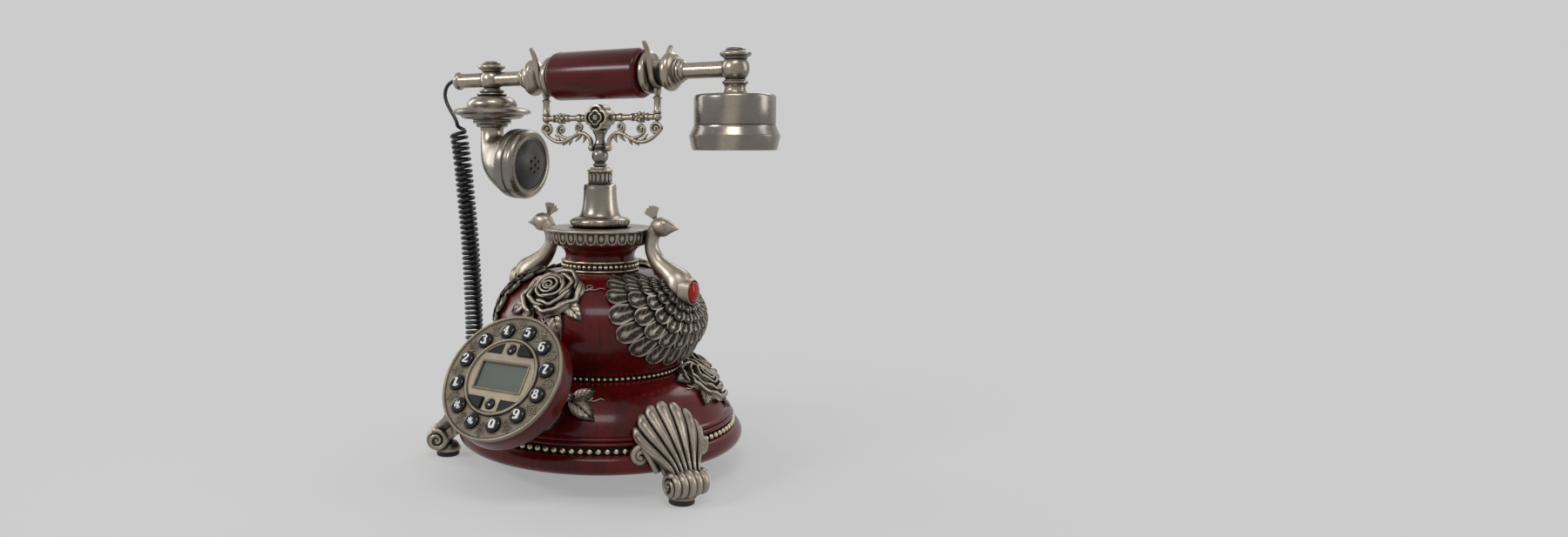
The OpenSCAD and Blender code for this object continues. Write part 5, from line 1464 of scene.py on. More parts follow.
def mouthpiece():
    rows = boss(8.8) + [(6.9, -6.9), (6.9, -7.5), (8.6, -7.8), (9.5, -8.3), (9.6, -9.0), (8.9, -9.6),
        (9.2, -10.0), (11.2, -10.6), (11.6, -11.3), (11.2, -12.0), (10.4, -12.4)]
    rows += [(10.6 + 8.6 * sin(radians(9 * i)), -12.7 - 6.9 * (1 - cos(radians(9 * i)))) for i in range(11)]
    rows += [(19.1, -20.4), (19.6, -21.0), (21.4, -21.4), (25, -21.9), (28.2, -22.8), (29.6, -23.8),
        (30.1, -24.7), (29.8, -25.5), (28.4, -26.2), (24.6, -27.0), (24.2, -27.6), (23.2, -28.8),
        (21.4, -29.6), (15.2, -30.3), (14.5, -30.9), (14.4, -31.6), (14.9, -32.2), (14.6, -33.0),
        (13.4, -33.4), (12.0, -33.6), (11.9, -34.4), (12.3, -35.0), (11.7, -35.9), (10.0, -36.3),
        (9.2, -36.8), (8.8, HORN_TOP), (0, HORN_TOP), (0, 14.1)]
    at = move(MOUTH_X, 0, AXIS_Z)
    turned("mouthpiece_turning", rows, 80, "mouth_stack", "turned pewter", 40, body="handset", at=at)

    ring_at = Vector((-70, 0, AXIS_Z - 64.2))
    c = Vector((MOUTH_X, 0, AXIS_Z + HORN_TOP - 0.02))
    m = ring_at - Vector((8.5, 0, 0))
    d = Vector((sin(radians(TILT)), 0, cos(radians(TILT))))
    big, elbow = 24.6, 8.6
    inner = (c + Vector((elbow, 0, 0)), c + Vector((elbow, 0, -7)), m + big * d + Vector((-9, 0, -4)),
        m + big * d)
    outer = (c - Vector((elbow, 0, 0)), c + Vector((-elbow - 1, 0, -26)), m - big * d + Vector((-22, 0, 12)),
        m - big * d)

    def horn(u, v):
        a, b = bezier(inner, u), bezier(outer, u)
        mid, r, axis = (a + b) / 2, (b - a).length / 2, (a - b).normalized()
        turn = tau * v
        return mid + r * cos(turn) * axis + Vector((0, r * sin(turn), 0))

    part = patch(40, 64, horn)
    finish_mesh(part, 2 * WELD, outward=False)
    close(part)
    bm = bmesh.new()
    join(bm, part)
    stand_in("mouthpiece_horn", bm, "mouth_horn", "turned pewter", 40, body="handset")

    at = move(*ring_at) @ about("Y", 90 + TILT)
    r, t = 26.3, 8.5
    rim = [(0, -t), (r - 1.9, -t), (r - 1.0, 0.5 - t), (r - 0.3, 1.4 - t), (r, 3.2 - t), (r, -1.2),
        (r - 0.3, -0.6), (r - 0.9, -0.2), (r - 0.4, 0.5), (r - 0.1, 1.6)]
    rim += arc(r - 4.4, 4.6, 4.2, -20, 100, 12) + [(r - 6.0, t - 0.2), (r - 6.3, t - 1.0), (0, t - 1.2)]
    turned("mouthpiece_ring", rim + [(0, -t)], 96, "mouth_face", "turned pewter", 35, body="handset", at=at)
    sound_plate(at, r - 6.4, t - 1.1, 5.2)


def hole_ring(r):
    """Places of seven sound holes: one in the middle of six."""
    return [(0, 0)] + [(r * cos(radians(a)), r * sin(radians(a))) for a in range(0, 360, 60)]


def sound_plate(at, r, z, rise):
    """The dark domed plate with its sound holes sunk in."""
    spots = [Vector((x, y)) for x, y in hole_ring(5.4)]

    def plate(u, v):
        q = r * u
        a = tau * v
        x, y = q * cos(a), q * sin(a)
        h = z + rise * cos(pi / 2 * min(1, q / r)) ** 0.9 - 0.4
        return Vector((x, y, h))

    part = patch(30, 64, plate)
    finish_mesh(part, 2 * WELD)
    near_holes = [e for e in part.edges if any(v.co.xy.length < 8 for v in e.verts)]
    bmesh.ops.subdivide_edges(part, edges=near_holes, cuts=2, use_grid_fill=True)
    for vert in part.verts:
        near = min((vert.co.xy - spot).length for spot in spots)
        if near < 1.25:
            vert.co.z -= 1.5 * min(1, max(0, (1.25 - near) / 0.45))
        else:
            vert.co.z += 0.12 * max(0, 1 - abs(near - 1.5) / 0.35)
    place(part, at)
    make_piece("mouthpiece_plate", part, "handset", "dark pewter", 60)


def earpiece():
    at = move(EAR_X, 0, AXIS_Z)
    cup_top, cup_low = -16.9, -37.3
    rows = boss(9.4) + [(7.2, -7.4), (7.2, -7.9), (8.2, -8.2), (8.7, -8.8), (8.6, -9.6), (7.8, -10.3),
        (7.2, -11.2), (6.9, -12.6), (7.1, -14.2), (7.9, -15.9), (9.0, cup_top), (0, cup_top), (0, 14.1)]
    turned("earpiece_turning", rows, 80, "ear_stack", "turned pewter", 40, body="handset", at=at)
    r = high("ear_cup").x - EAR_X
    rows = [(0, cup_top), (r - 3.4, cup_top)] + [(r - 2.6 + 2.6 * sin(radians(a)),
        cup_top - 2.6 + 2.6 * cos(radians(a))) for a in range(15, 91, 15)]
    rows += [(r, cup_low + 0.8), (r - 0.5, cup_low), (0, cup_low), (0, cup_top)]
    turned("ear_cup_turning", rows, 128, "ear_cup", "brushed pewter", 35, body="handset", at=at)
    w, cap_top, cap_low = r + 3.1, cup_low, cup_low - 16.6
    rows = [(0, cap_top), (r - 0.2, cap_top), (r + 0.2, cap_top - 0.3), (r + 0.35, cap_top - 1.2),
        (r + 0.75, cap_top - 2.0), (w - 0.5, cap_top - 6.0), (w - 0.05, cap_top - 6.7),
        (w - 0.1, cap_top - 7.5), (r + 1.3, cap_low + 1.2), (r + 0.9, cap_low + 0.4), (r + 0.1, cap_low),
        (r - 3.2, cap_low), (r - 3.8, cap_low + 0.3), (r - 6, cap_low + 1.8), (r - 12, cap_low + 2.8),
        (0, cap_low + 3.2), (0, cap_top)]
    bm = bmesh.new()
    spin_profile(bm, rows, 128, at)
    for x, y in hole_ring(6):
        spot = at @ move(x, y, cap_low + (3.15 if (x, y) == (0, 0) else 2.85))
        spin_profile(bm, [(1.0, 0.2), (1.5, -0.05), (1.1, -0.2), (0.9, 0), (0.9, 0.3), (0, 0.3)], 16, spot)
    stand_in("ear_cap_turning", bm, "ear_cap", "brushed pewter", 35, body="handset")


class PHONE_OT_handset(bpy.types.Operator):
    """Turns the handset: grip, tube, mouthpiece and earpiece"""
    bl_idname = "phone.handset"
    bl_label = "Handset"

    def execute(self, context):
        handle()
        mouthpiece()
        earpiece()
        return {"FINISHED"}


# ---------- dial ----------
DIAL_AT = move(0, -117.8, 82.4) @ about("X", 90 - 36.5)
DIAL_R, KEY_RING, KEY_D, BEZEL_R = 44, 33.2, 10.6, 27.2
LCD_W, LCD_H = 36, 18
SOFT_R, SOFT_IN, SOFT_OUT, SOFT_LOW = 24.3, 6.3, 18.9, 15.3
ROUND_Y, ROUND_R = 19.2, 3.7
KEY_FOOT = -6.75
PLATE = 2.4
KEY_TURNS = {"key_0": 165, "key_1": -105, "key_2": -75, "key_3": -45, "key_4": -15, "key_5": 15, "key_6": 45,
    "key_7": 75, "key_8": 105, "key_9": 135, "key_star": -165, "key_hash": -135}
KEY_MARKS = {"key_star": "*", "key_hash": "#"}


def oval(cx, cy, rx, ry):
    """Nine points of an upright oval, from its top round to its top."""
    return [(cx + rx * cos(a), cy + ry * sin(a)) for a in (radians(90 + 45 * k) for k in range(9))]


BOWL = ((1.35, 2.0), (0.4, 2.6), (-0.9, 1.8), (-1.55, -0.2), (-1.25, -1.9), (0, -2.65), (1.3, -2.0),
    (1.45, -0.7), (0.6, 0.35), (-0.5, 0.2), (-1.35, -0.6))
# Strokes of the printed figures: half widths where steep and where level, then points
MARKS = {"0": [(0.72, 0.26, *oval(0, 0, 1.45, 2.45))], "1": [(0.72, 0.3, (0.15, 2.7), (0.15, -2.5)),
    (0.34, 0.3, (0.2, 2.55), (-1.2, 1.7)), (0.24, 0.24, (-1.1, -2.55), (1.4, -2.55))],
    "2": [(0.66, 0.28, (-1.4, 1.2), (-1.0, 2.3), (0.1, 2.6), (1.3, 1.8), (1.1, 0.6), (-0.3, -1.1),
    (-1.45, -2.3)), (0.42, 0.42, (-1.5, -2.3), (1.6, -2.3)), (0.5, 0.4, (-1.5, 1.2), (-1.0, 1.2))],
    "3": [(0.62, 0.28, (-1.3, 1.7), (-0.5, 2.55), (0.8, 2.3), (1.2, 1.4), (0.6, 0.5), (-0.3, 0.25)),
    (0.66, 0.28, (-0.3, 0.25), (0.9, 0.1), (1.45, -1.1), (0.8, -2.3), (-0.5, -2.6), (-1.45, -1.7))],
    "4": [(0.3, 0.3, (0.5, 2.5), (-1.7, -0.8)), (0.3, 0.3, (-1.7, -0.9), (1.7, -0.9)),
    (0.68, 0.3, (0.55, 2.6), (0.55, -2.5)), (0.24, 0.24, (-0.5, -2.55), (1.6, -2.55))],
    "5": [(0.44, 0.44, (1.4, 2.3), (-1.1, 2.3)), (0.28, 0.28, (-1.1, 2.3), (-1.25, 0.3)),
    (0.66, 0.3, (-1.25, 0.3), (0.1, 0.8), (1.3, 0.1), (1.35, -1.3), (0.5, -2.4), (-0.7, -2.5), (-1.5, -1.7))],
    "6": [(0.64, 0.26, *BOWL)], "7": [(0.44, 0.44, (-1.5, 2.25), (1.6, 2.25)),
    (0.66, 0.4, (1.5, 2.2), (0.5, 0.3), (-0.2, -2.6)), (0.3, 0.3, (-1.5, 2.4), (-1.5, 1.5))],
    "8": [(0.52, 0.24, *oval(0, 1.3, 1.05, 1.2)), (0.6, 0.26, *oval(0, -1.25, 1.4, 1.35))],
    "9": [(0.64, 0.26, *((-x, -y) for x, y in BOWL))], "*": [(0.34, 0.34, (1.8 * cos(a), 1.8 * sin(a)),
    (-1.8 * cos(a), -1.8 * sin(a))) for a in (radians(30 + 60 * k) for k in range(3))],
    "#": [(0.32, 0.32, (x, -2.1), (x + 0.5, 2.1)) for x in (-1.0, 0.5)] + [(0.3, 0.3, (-1.8, y), (1.8, y))
    for y in (-0.7, 0.7)]}


def key_spot(turn):
    a = radians(turn)
    return KEY_RING * Vector((sin(a), cos(a), 0))


def dial_face():
    bm = bmesh.new()
    bottom = 0.03 - PLATE
    spin_profile(bm, [(BEZEL_R - 1.1, bottom), (DIAL_R - 0.7, bottom), (DIAL_R - 0.15, bottom + 0.5),
        (DIAL_R, bottom + 1.2), (DIAL_R, 0.2), (DIAL_R - 0.2, 0.75), (DIAL_R - 0.75, 1.05),
        (DIAL_R - 1.4, 0.95), (DIAL_R - 1.9, 0.45), (DIAL_R - 2.1, 0), (BEZEL_R - 1.1, 0),
        (BEZEL_R - 1.1, bottom)], 144)
    sunk = bm.verts.layers.float.new("sunk")
    for vert in bm.verts:
        vert[sunk] = 0.42 * (abs(vert.co.z) < 0.1)
    for i in range(12):
        engrave(bm, 30 * i)
    for turn in KEY_TURNS.values():
        ring = [key_spot(turn) + Vector((cos(a), sin(a), 0)) * (KEY_D / 2 + 0.55) + Vector((0, 0, 0.05))
            for a in (tau * i / 28 for i in range(29))]
        tube(bm, ring, 0.32, 6, side=(0, 0, 1), round_ends=False)
    place(bm, DIAL_AT)
    stand_in("dial_face", bm, "dial_plate", "dial brass", 40)


def engrave(bm, turn):
    """A lily between two scrolls, raised on the face between two keys."""
    at = about_z(-turn)
    centre = 36.6
    strokes = []
    for s in (-1, 1):
        strokes.append(spiral(s * 2.3, centre + 1.5, 1.35, 250, -470, 0.18, 18, s))
        strokes.append(spiral(s * 3.3, centre - 1.6, 0.95, 120, 400, 0.2, 14, s))
        strokes.append([(s * 0.4, centre - 4.8), (s * 1.1, centre - 3.4), (s * 2.4, centre - 2.4),
            (s * 3.4, centre - 0.7)])
        strokes.append([(s * 0.3, centre - 1.5), (s * 1.3, centre - 0.4), (s * 1.5, centre + 0.6),
            (s * 1.0, centre + 1.2)])
        strokes.append([(s * 0.2, centre + 1.2), (s * 0.9, centre + 2.3), (s * 0.35, centre + 3.6),
            (0, centre + 4.6)])
    strokes.append([(0, centre - 5.4), (0, centre - 3), (0, centre), (0, centre + 3)])
    for points in strokes:
        path = [at @ Vector((x, y, 0.1)) for x, y in points]
        if len(path) < 6:
            path = smooth_path(path, 4)
        tube(bm, path, lambda t: 0.27 + 0.12 * sin(pi * t), 5, side=(0, 0, 1))


def display_bezel():
    bm = bmesh.new()
    r = BEZEL_R
    rings = [(r - 1.2, 0.03 - PLATE), (r - 1.2, 0.05), (r - 0.1, 0.05)]
    rings += arc(r - 1.1, 0.65, 1.05, 0, 175, 10)
    rings += [(r - 2.5, 0.35), (r - 2.9, 0.3)]
    spin_profile(bm, rings + [(r - 2.9, 0.03 - PLATE), rings[0]], 128)
    centre_plate(bm, r - 2.9, 0.42, PLATE)
    frame_w, frame_h = LCD_W / 2 + 0.9, LCD_H / 2 + 0.9
    corner = 0.8
    rim = []
    for sx, sy, start in ((1, 1, 0), (-1, 1, 90), (-1, -1, 180), (1, -1, 270)):
        rim += arc(sx * (frame_w - corner), sy * (frame_h - corner), corner, start, start + 90, 4)
    tube(bm, [Vector((x, y, 0.45)) for x, y in rim + rim[:1]], 0.55, 8, side=(0, 0, 1), round_ends=False)
    place(bm, DIAL_AT)
    stand_in("display_bezel", bm, "dial_bezel", "dial brass", 40)


def centre_plate(bm, r, top, thick):
    """The plate inside the bezel, with openings for the display and the six keys."""
    part = bmesh.new()
    step = 0.45
    n = round(2 * r / step)
    bmesh.ops.create_grid(part, x_segments=n, y_segments=n, size=n * step / 2)

    def wall(x, y):
        """Distance into the plate: below zero in an opening or past the rim."""
        q = r - hypot(x, y)
        q = min(q, max(abs(x) - LCD_W / 2, abs(y) - LCD_H / 2))
        for turn in (-1, 1):
            q = min(q, hypot(x, y - turn * ROUND_Y) - ROUND_R)
        ax, ay = abs(x), abs(y)
        inside = max(SOFT_IN - ax, ax - SOFT_OUT, SOFT_LOW - ay, hypot(x, y) - SOFT_R)
        return min(q, inside)

    for vert in part.verts:
        x, y = vert.co.x, vert.co.y
        for _ in range(3):
            d = wall(x, y)
            if abs(d) > step * 0.62:
                break
            e = 0.02
            gx = (wall(x + e, y) - wall(x - e, y)) / (2 * e)
            gy = (wall(x, y + e) - wall(x, y - e)) / (2 * e)
            g = gx * gx + gy * gy
            if g < 0.2:
                break
            x, y = x - d * gx / g, y - d * gy / g
        vert.co.x, vert.co.y = x, y
    gone = [f for f in part.faces if wall(*f.calc_center_median().xy) < 0]
    bmesh.ops.delete(part, geom=gone, context="FACES")
    bmesh.ops.remove_doubles(part, verts=part.verts, dist=0.03)
    bmesh.ops.dissolve_limit(part, angle_limit=0.02, verts=part.verts, edges=part.edges,
        use_dissolve_boundaries=False)
    bmesh.ops.translate(part, verts=part.verts, vec=(0, 0, top))
    out = bmesh.ops.extrude_face_region(part, geom=part.faces[:])
    low_verts = [v for v in out["geom"] if isinstance(v, bmesh.types.BMVert)]
    bmesh.ops.translate(part, verts=low_verts, vec=(0, 0, -thick))
    bmesh.ops.recalc_face_normals(part, faces=part.faces)
    join(bm, part)


def display_glass():
    bm = bmesh.new()
    w, h = LCD_W / 2 + 1.2, LCD_H / 2 + 1.2

    def screen(u, v, sink):
        x, y = (2 * u - 1) * w, (2 * v - 1) * h
        return Vector((x, y, -0.9 if not sink else -2.3))

    tile(bm, 12, 8, screen, 1)
    place(bm, DIAL_AT)
    stand_in("display_glass", bm, "lcd_window", "display")


def number_keys():
    d = KEY_D / 2
    for name, turn in KEY_TURNS.items():
        profile = [(0, KEY_FOOT), (2.8, KEY_FOOT), (2.8, -4.1), (d + 0.8, -4.1), (d + 0.8, -2.72), (d, -2.7),
            (d, 1.3)]
        profile += [(d * cos(radians(a)) ** 0.86, 1.3 + 1.5 * sin(radians(a))) for a in range(9, 90, 9)]
        profile += [(0, 2.8), (0, KEY_FOOT)]
        turned(name + "_cap", profile, 40, name, "key black", body=name,
            at=DIAL_AT @ move(*key_spot(turn)))
        print_mark(name, KEY_MARKS.get(name, name[-1]), key_spot(turn), d)


def print_mark(key, mark, spot, d):
    """A printed figure of thick and thin strokes that lies on the key's dome."""
    bm = bmesh.new()
    for thick, thin, *points in MARKS[mark]:
        path = [Vector((x, y, 0)) for x, y in points]
        path = smooth_path(path, 6) if len(path) > 2 else [path[0].lerp(path[1], k / 6) for k in range(7)]
        n = len(path) - 1

        def stroke(u, v, sink):
            k = min(round(u * n), n)
            ahead = (path[min(k + 1, n)] - path[max(k - 1, 0)]).normalized()
            across = 2 * v - 1
            steep = abs(ahead.y) if len(points) > 2 else 1
            half = (thin + (thick - thin) * steep ** 1.5) * (0.75 if k in (0, n) else 1)
            x, y = (path[k] + Vector((-ahead.y, ahead.x, 0)) * across * half).xy * 1.12
            q = min(0.98, hypot(x, y) / d)
            z = 1.3 + 1.5 * sin(acos(q ** (1 / 0.86)))
            return Vector((x, y, z + (-0.15 if sink else 0.09 + 0.05 * (1 - across ** 2))))

        tile(bm, n, 4, stroke, 1)
    place(bm, DIAL_AT @ move(*spot))
    make_piece(key + "_mark", bm, key, "white print", 60)


def centre_keys():
    for name, turn in (("round_key_top", 1), ("round_key_bottom", -1)):
        r = 3.4
        profile = [(0, KEY_FOOT), (1.4, KEY_FOOT), (1.4, -3.9), (r + 1, -3.9), (r + 1, -2.7), (r, -2.7),
            (r, 1.0)]
        profile += [(r * cos(radians(a)), 1.0 + 1.2 * sin(radians(a))) for a in range(10, 90, 10)]
        turned(name + "_cap", profile + [(0, 2.2), (0, KEY_FOOT)], 36, name, "key black", body=name,
            at=DIAL_AT @ move(0, turn * ROUND_Y, 0))
    for name in ("soft_key_top_left", "soft_key_top_right", "soft_key_bottom_left", "soft_key_bottom_right"):
        sx = -1 if "right" in name else 1
        sy = -1 if "bottom" in name else 1
        stand_in(name + "_cap", wedge(sx, sy), name, "key black", 50, body=name)


def wedge(sx, sy):
    """A soft key: a circle's segment cut square, with a pillowed top."""
    gap = 0.3
    outer, low_y, in_x, left = SOFT_R - gap, SOFT_LOW + gap, SOFT_IN + gap, SOFT_OUT - gap
    points = []
    a0 = asin(low_y / outer)
    a1 = acos(in_x / outer)
    x_low = min(left, outer * cos(a0))
    points.append((-in_x, low_y))
    for i in range(9):
        a = a1 + (a0 - a1) * i / 8
        points.append((-min(left, outer * cos(a)), outer * sin(a)))
    points.append((-x_low, low_y))
    bm = bmesh.new()
    for x, y in points:
        bm.verts.new((x * sx, y * sy, 0.2))
    bmesh.ops.remove_doubles(bm, verts=bm.verts, dist=0.02)
    face = bmesh.ops.contextual_create(bm, geom=bm.verts[:])["faces"][0]
    if face.normal.z < 0:
        face.normal_flip()
    bmesh.ops.inset_region(bm, faces=[face], thickness=0.3, depth=1.1)
    bmesh.ops.inset_region(bm, faces=[face], thickness=0.55, depth=0.65)
    bmesh.ops.inset_region(bm, faces=[face], thickness=0.8, depth=0.4)
    rim = [e for e in bm.edges if e.is_boundary]
    out = bmesh.ops.extrude_edge_only(bm, edges=rim)
    down = [v for v in out["geom"] if isinstance(v, bmesh.types.BMVert)]
    bmesh.ops.translate(bm, verts=down, vec=(0, 0, -2.8))
    close(bm)
    place(bm, DIAL_AT)
    return bm


class PHONE_OT_dial(bpy.types.Operator):
    """Models the dial's face with its engraved ring, bezel, display and keys"""
    bl_idname = "phone.dial"
    bl_label = "Dial and keys"

    def execute(self, context):
        dial_face()
        display_bezel()
        display_glass()
        number_keys()
        centre_keys()
        return {"FINISHED"}


# ---------- lacquered shells ----------
def dial_housing():
    r, rim, stem, start = 44.0, 14.0, 17.5, 34.0
    inside = r - 3.1
    rows = [(stem, -54), (stem, -start)]
    for i in range(1, 13):
        a = pi / 2 * i / 13
        rows.append((stem + (r - 3 - stem) * (1 - cos(a)), -start + (start - rim - 4) * sin(a)))
    rows += [(r - 2.8, -rim - 3.4), (r - 1.6, -rim - 2.2), *arc(r - 1.7, -rim - 0.6, 1.35, -60, 0, 5)]
    rows += [(r - 0.3, -8), (r - 0.3, -3.2), (r - 0.6, -2.45), (inside, -2.4), (inside, -10.6), (6, -10.6),
        (6, -54), (stem, -54)]
    bm = bmesh.new()
    spin_profile(bm, rows, 128)
    place(bm, DIAL_AT)
    # The stem's end is trimmed to stop just inside the dome
    for vert in bm.verts:
        out = hypot(vert.co.x, vert.co.y)
        deepest = dome_radius(vert.co.z) - 1.5
        local = DIAL_AT.inverted() @ vert.co
        if local.z < -36 and out < deepest:
            away = DIAL_AT.col[2].xyz
            for _ in range(60):
                vert.co += away * 0.5
                if hypot(vert.co.x, vert.co.y) > dome_radius(vert.co.z) - 1.5:
                    break
    stand_in("dial_housing_turning", bm, "dial_housing", "red lacquer", 40)


def build_shells():
    r, z = RIM_R, RIM_Z
    rim = arc(r - 7, z + 7, 7, -90, 62, 20)
    ledge_r, ledge_z = r - 6, z + 18.5
    rows = rim + [(r - 9.1, z + 13.2), (r - 9.3, z + 14), (r - 9.4, ledge_z - 0.6), (r - 9.2, ledge_z - 0.1)]
    rows += arc(ledge_r - 1.3, ledge_z + 1.2, 1.25, -80, 82, 8) + [(ledge_r - 2.0, ledge_z + 2.65)]
    rows += arc(ledge_r - 3.0, ledge_z + 4.0, 1.35, -60, 70, 8) + [(ledge_r - 4.0, ledge_z + 5.9),
        (ledge_r - 4.45, DOME_Z - 0.6)]
    rows += [dome_point(i / 30) for i in range(31)]
    inner = [(WAIST_R - 8, rows[-1][1]), (WAIST_R - 10, rows[-1][1] - 4), (r - 25, DOME_Z - 1),
        (r - 10.2, z + 12), (r - 10.2, z)]
    bm = bmesh.new()
    spin_profile(bm, rows + inner + [rows[0]], 180)
    for turn in range(0, 360, 60):
        at = about_z(turn) @ move(r - 17.4, 0, RIM_Z + 2.1)
        spin_profile(bm, [(1.7, 0), (4, 0), (4, 19), (0, 19), (0, 10), (1.7, 10), (1.7, 0)], 24, at)
    stand_in("base_turning", bm, "base_shell", "red lacquer", 40)

    heights = [VASE_LOW + (EQUATOR_Z - VASE_LOW) * i / 14 for i in range(14)]
    rows = [(vase_radius(h), h) for h in heights]
    rows += [(SHOULDER_R + (VASE_R - SHOULDER_R) * cos(a), EQUATOR_Z + (VASE_TOP - EQUATOR_Z) * sin(a))
        for a in (pi / 80 * i for i in range(41))]
    neck, band_top = 25.5, high("neck_bead_band").z + 0.1
    flare_top = high("vase_shell").z
    rows += [(SHOULDER_R - 0.4, VASE_TOP), (neck, VASE_TOP), (neck, band_top), (neck - 0.3, band_top + 1.2)]
    lip = FLANGE_R - 3.8
    for i in range(1, 15):
        a = pi / 30 * i
        rise = (flare_top - band_top - 4.4) * sin(a)
        rows.append((neck - 0.4 + (lip - neck) * (1 - cos(a)), band_top + 1.8 + rise))
    rows += [(lip - 1.0, flare_top - 2.2), *arc(lip - 1.1, flare_top - 1.1, 1.1, -80, 88, 6)]
    rows += [(13, flare_top - 0.02), (13, VASE_TOP - 5), (VASE_R - 8, EQUATOR_Z + 4),
        (WAIST_R - 8, VASE_LOW + 3), (WAIST_R / 2, VASE_LOW + 3), (WAIST_R / 2, VASE_LOW), rows[0]]
    turned("vase_turning", rows, 160, "vase_shell", "red lacquer", 40)
    dial_housing()


class PHONE_OT_shells(bpy.types.Operator):
    """Turns the lacquered base, vase and dial housing"""
    bl_idname = "phone.shells"
    bl_label = "Lacquered shells"

    def execute(self, context):
        build_shells()
        return {"FINISHED"}


# ---------- the frame's own nodes ----------
def build_finishes(scene):
    tones = scene.phone_colours
    light, dark = tuple(tones.metal_light), tuple(tones.metal_dark)
    metal_finish("cast pewter", light, dark, (1, 1, 1), 0.001, 0.004, 0.95, 0.36)
    # turned pewter and brushed pewter: the last number is the strength of the painted reflection bands
    metal_finish("turned pewter", light, dark, (1, 1, 10), 0.004, 0.004, 0.8, 0.27, 0.25, 0.5)
    metal_finish("feather pewter", light, dark, (1, 1, 1), 0.0008, 0.0022, 1.1, 0.36)
    metal_finish("brushed pewter", light, dark, (1, 1, 16), 0.005, 0.004, 0.7, 0.25, 0.0, 0.6)
    metal_finish("handset pewter", light, dark, (8, 1, 1), 0.004, 0.004, 0.75, 0.26, 0.2)
    metal_finish("bead brass", tuple(tones.bead_light), dark, (1, 1, 1), 0.001, 0.0012, 1.0, 0.28, 0.2)
    metal_finish("dial brass", tuple(tones.dial_light), dark, (1, 1, 1), 0.0012, 0.0014, 0.8, 0.46, 0.6)
    metal_finish("dark pewter", tuple(c * k for c, k in zip(light, (0.20, 0.225, 0.27))), dark, (1, 1, 1),
        0.0012, 0.003, 0.8, 0.4)
    lacquer_finish("red lacquer", tuple(tones.lacquer_bright), tuple(tones.lacquer_deep))
    lacquer_finish("grip lacquer", tuple(tones.lacquer_bright), tuple(tones.lacquer_deep), (0.12, 1, 1))
    plain_finish("key black", (0.004, 0.004, 0.005), 0.2, 0.6, height=0.00001, coat=0.4, Coat_Roughness=0.03,
        Specular_IOR_Level=0.25)
    plain_finish("cord rubber", (0.008, 0.008, 0.009), 0.33, 0.7, 0.0006, 0.00004)
    plain_finish("pad rubber", (0.012, 0.012, 0.012), 0.55, 0.7, 0.001, 0.0001)
    plain_finish("black plastic", (0.02, 0.019, 0.018), 0.5, 0.8, 0.0012, 0.0001)
    plain_finish("circuit green", (0.02, 0.11, 0.04), 0.4, 0.8, 0.004)
    plain_finish("zinc steel", (0.55, 0.56, 0.58), 0.3, 0.85, 0.0006, 0.00002, 1.0)
    plain_finish("red gem", (0.50, 0.002, 0.003), 0.22, 0.3, 0.004, coat=0.25, Coat_Roughness=0.02,
        Specular_IOR_Level=0.2)
    plain_finish("display", (0.135, 0.152, 0.128), 0.4, 0.8, 0.02, coat=0.15, Coat_Roughness=0.05,
        Specular_IOR_Level=0.2)
    plain_finish("white print", (0.86, 0.86, 0.84), 0.5, 0.97, 0.0004)


class PHONE_OT_finishes(bpy.types.Operator):
    """Makes every finish of the telephone"""
    bl_idname = "phone.finishes"
    bl_label = "Finishes"

    def execute(self, context):
        build_finishes(context.scene)
        return {"FINISHED"}


NODE_FINISHES = {"red lacquer": ("base_shell", "vase_shell", "dial_housing"), "grip lacquer": ("grip",),
    "cast pewter": ("leg_front_left", "leg_front_right", "leg_rear", "peacock_left", "peacock_right",
    "vase_roses", "base_roses", "cradle_scrolls", "cradle_forks", "cradle_bar", "base_bead_ring",
    "waist_bead_ring", "neck_bead_band", "scallop_flange", "gems"), "turned pewter": ("pedestal_bell",
    "fluted_collar", "cradle_post", "ear_cup", "ear_cap", "ear_stack", "mouth_stack", "mouth_horn"),
    "handset pewter": ("handle_tube",), "dark pewter": ("mouth_face",), "dial brass": ("dial_plate",
    "dial_bezel"), "key black": tuple(n for n in NODES if n.startswith(("key_", "soft_key", "round_key"))),
    "cord rubber": ("cord_bush", "cord_lead", "cord_coil"), "pad rubber": ("foot_pads",),
    "black plastic": ("bottom_plate", "line_jack"), "circuit green": ("line_board", "keypad_board"),
    "zinc steel": ("bottom_screws", "hook_spring"), "white print": ("lcd_window",)}


def build_dress_nodes():
    for finish, names in NODE_FINISHES.items():
        for name in names:
            materials = NODES[name].data.materials
            if len(materials):
                for i in range(len(materials)):
                    materials[i] = finishes[finish]
            else:
                materials.append(finishes[finish])


class PHONE_OT_dress_nodes(bpy.types.Operator):
    """Gives every node of the frame its finish"""
    bl_idname = "phone.dress_nodes"
    bl_label = "Finish the frame's nodes"

    def execute(self, context):
        build_dress_nodes()
        return {"FINISHED"}


# ---------- stage ----------
CAMERA_TURN, CAMERA_PITCH = radians(32.43), radians(5.76)
CAMERA_LENS, CAMERA_SHIFT = 23.45, (0.1173, -0.0104)
CAMERA_TARGET, CAMERA_AWAY = Vector((0, 0, 0.1526)), 0.745
BACKDROP = (0.602, 0.602, 0.602)
FLOOR_PAPER = (0.78, 0.78, 0.78)
FLOOR_HALF = 6
LIGHT_TARGET = Vector((0, 0, 0.15))


def ray_seen(tree, *kinds):
    """1 where the ray is of one of the kinds, else 0."""
    path = tree.nodes.new("ShaderNodeLightPath")
    seen = [Sock(tree, path.outputs["Is %s Ray" % kind]) for kind in kinds]
    out = seen[0]
    for ray in seen[1:]:
        out = out.most(ray)
    return out


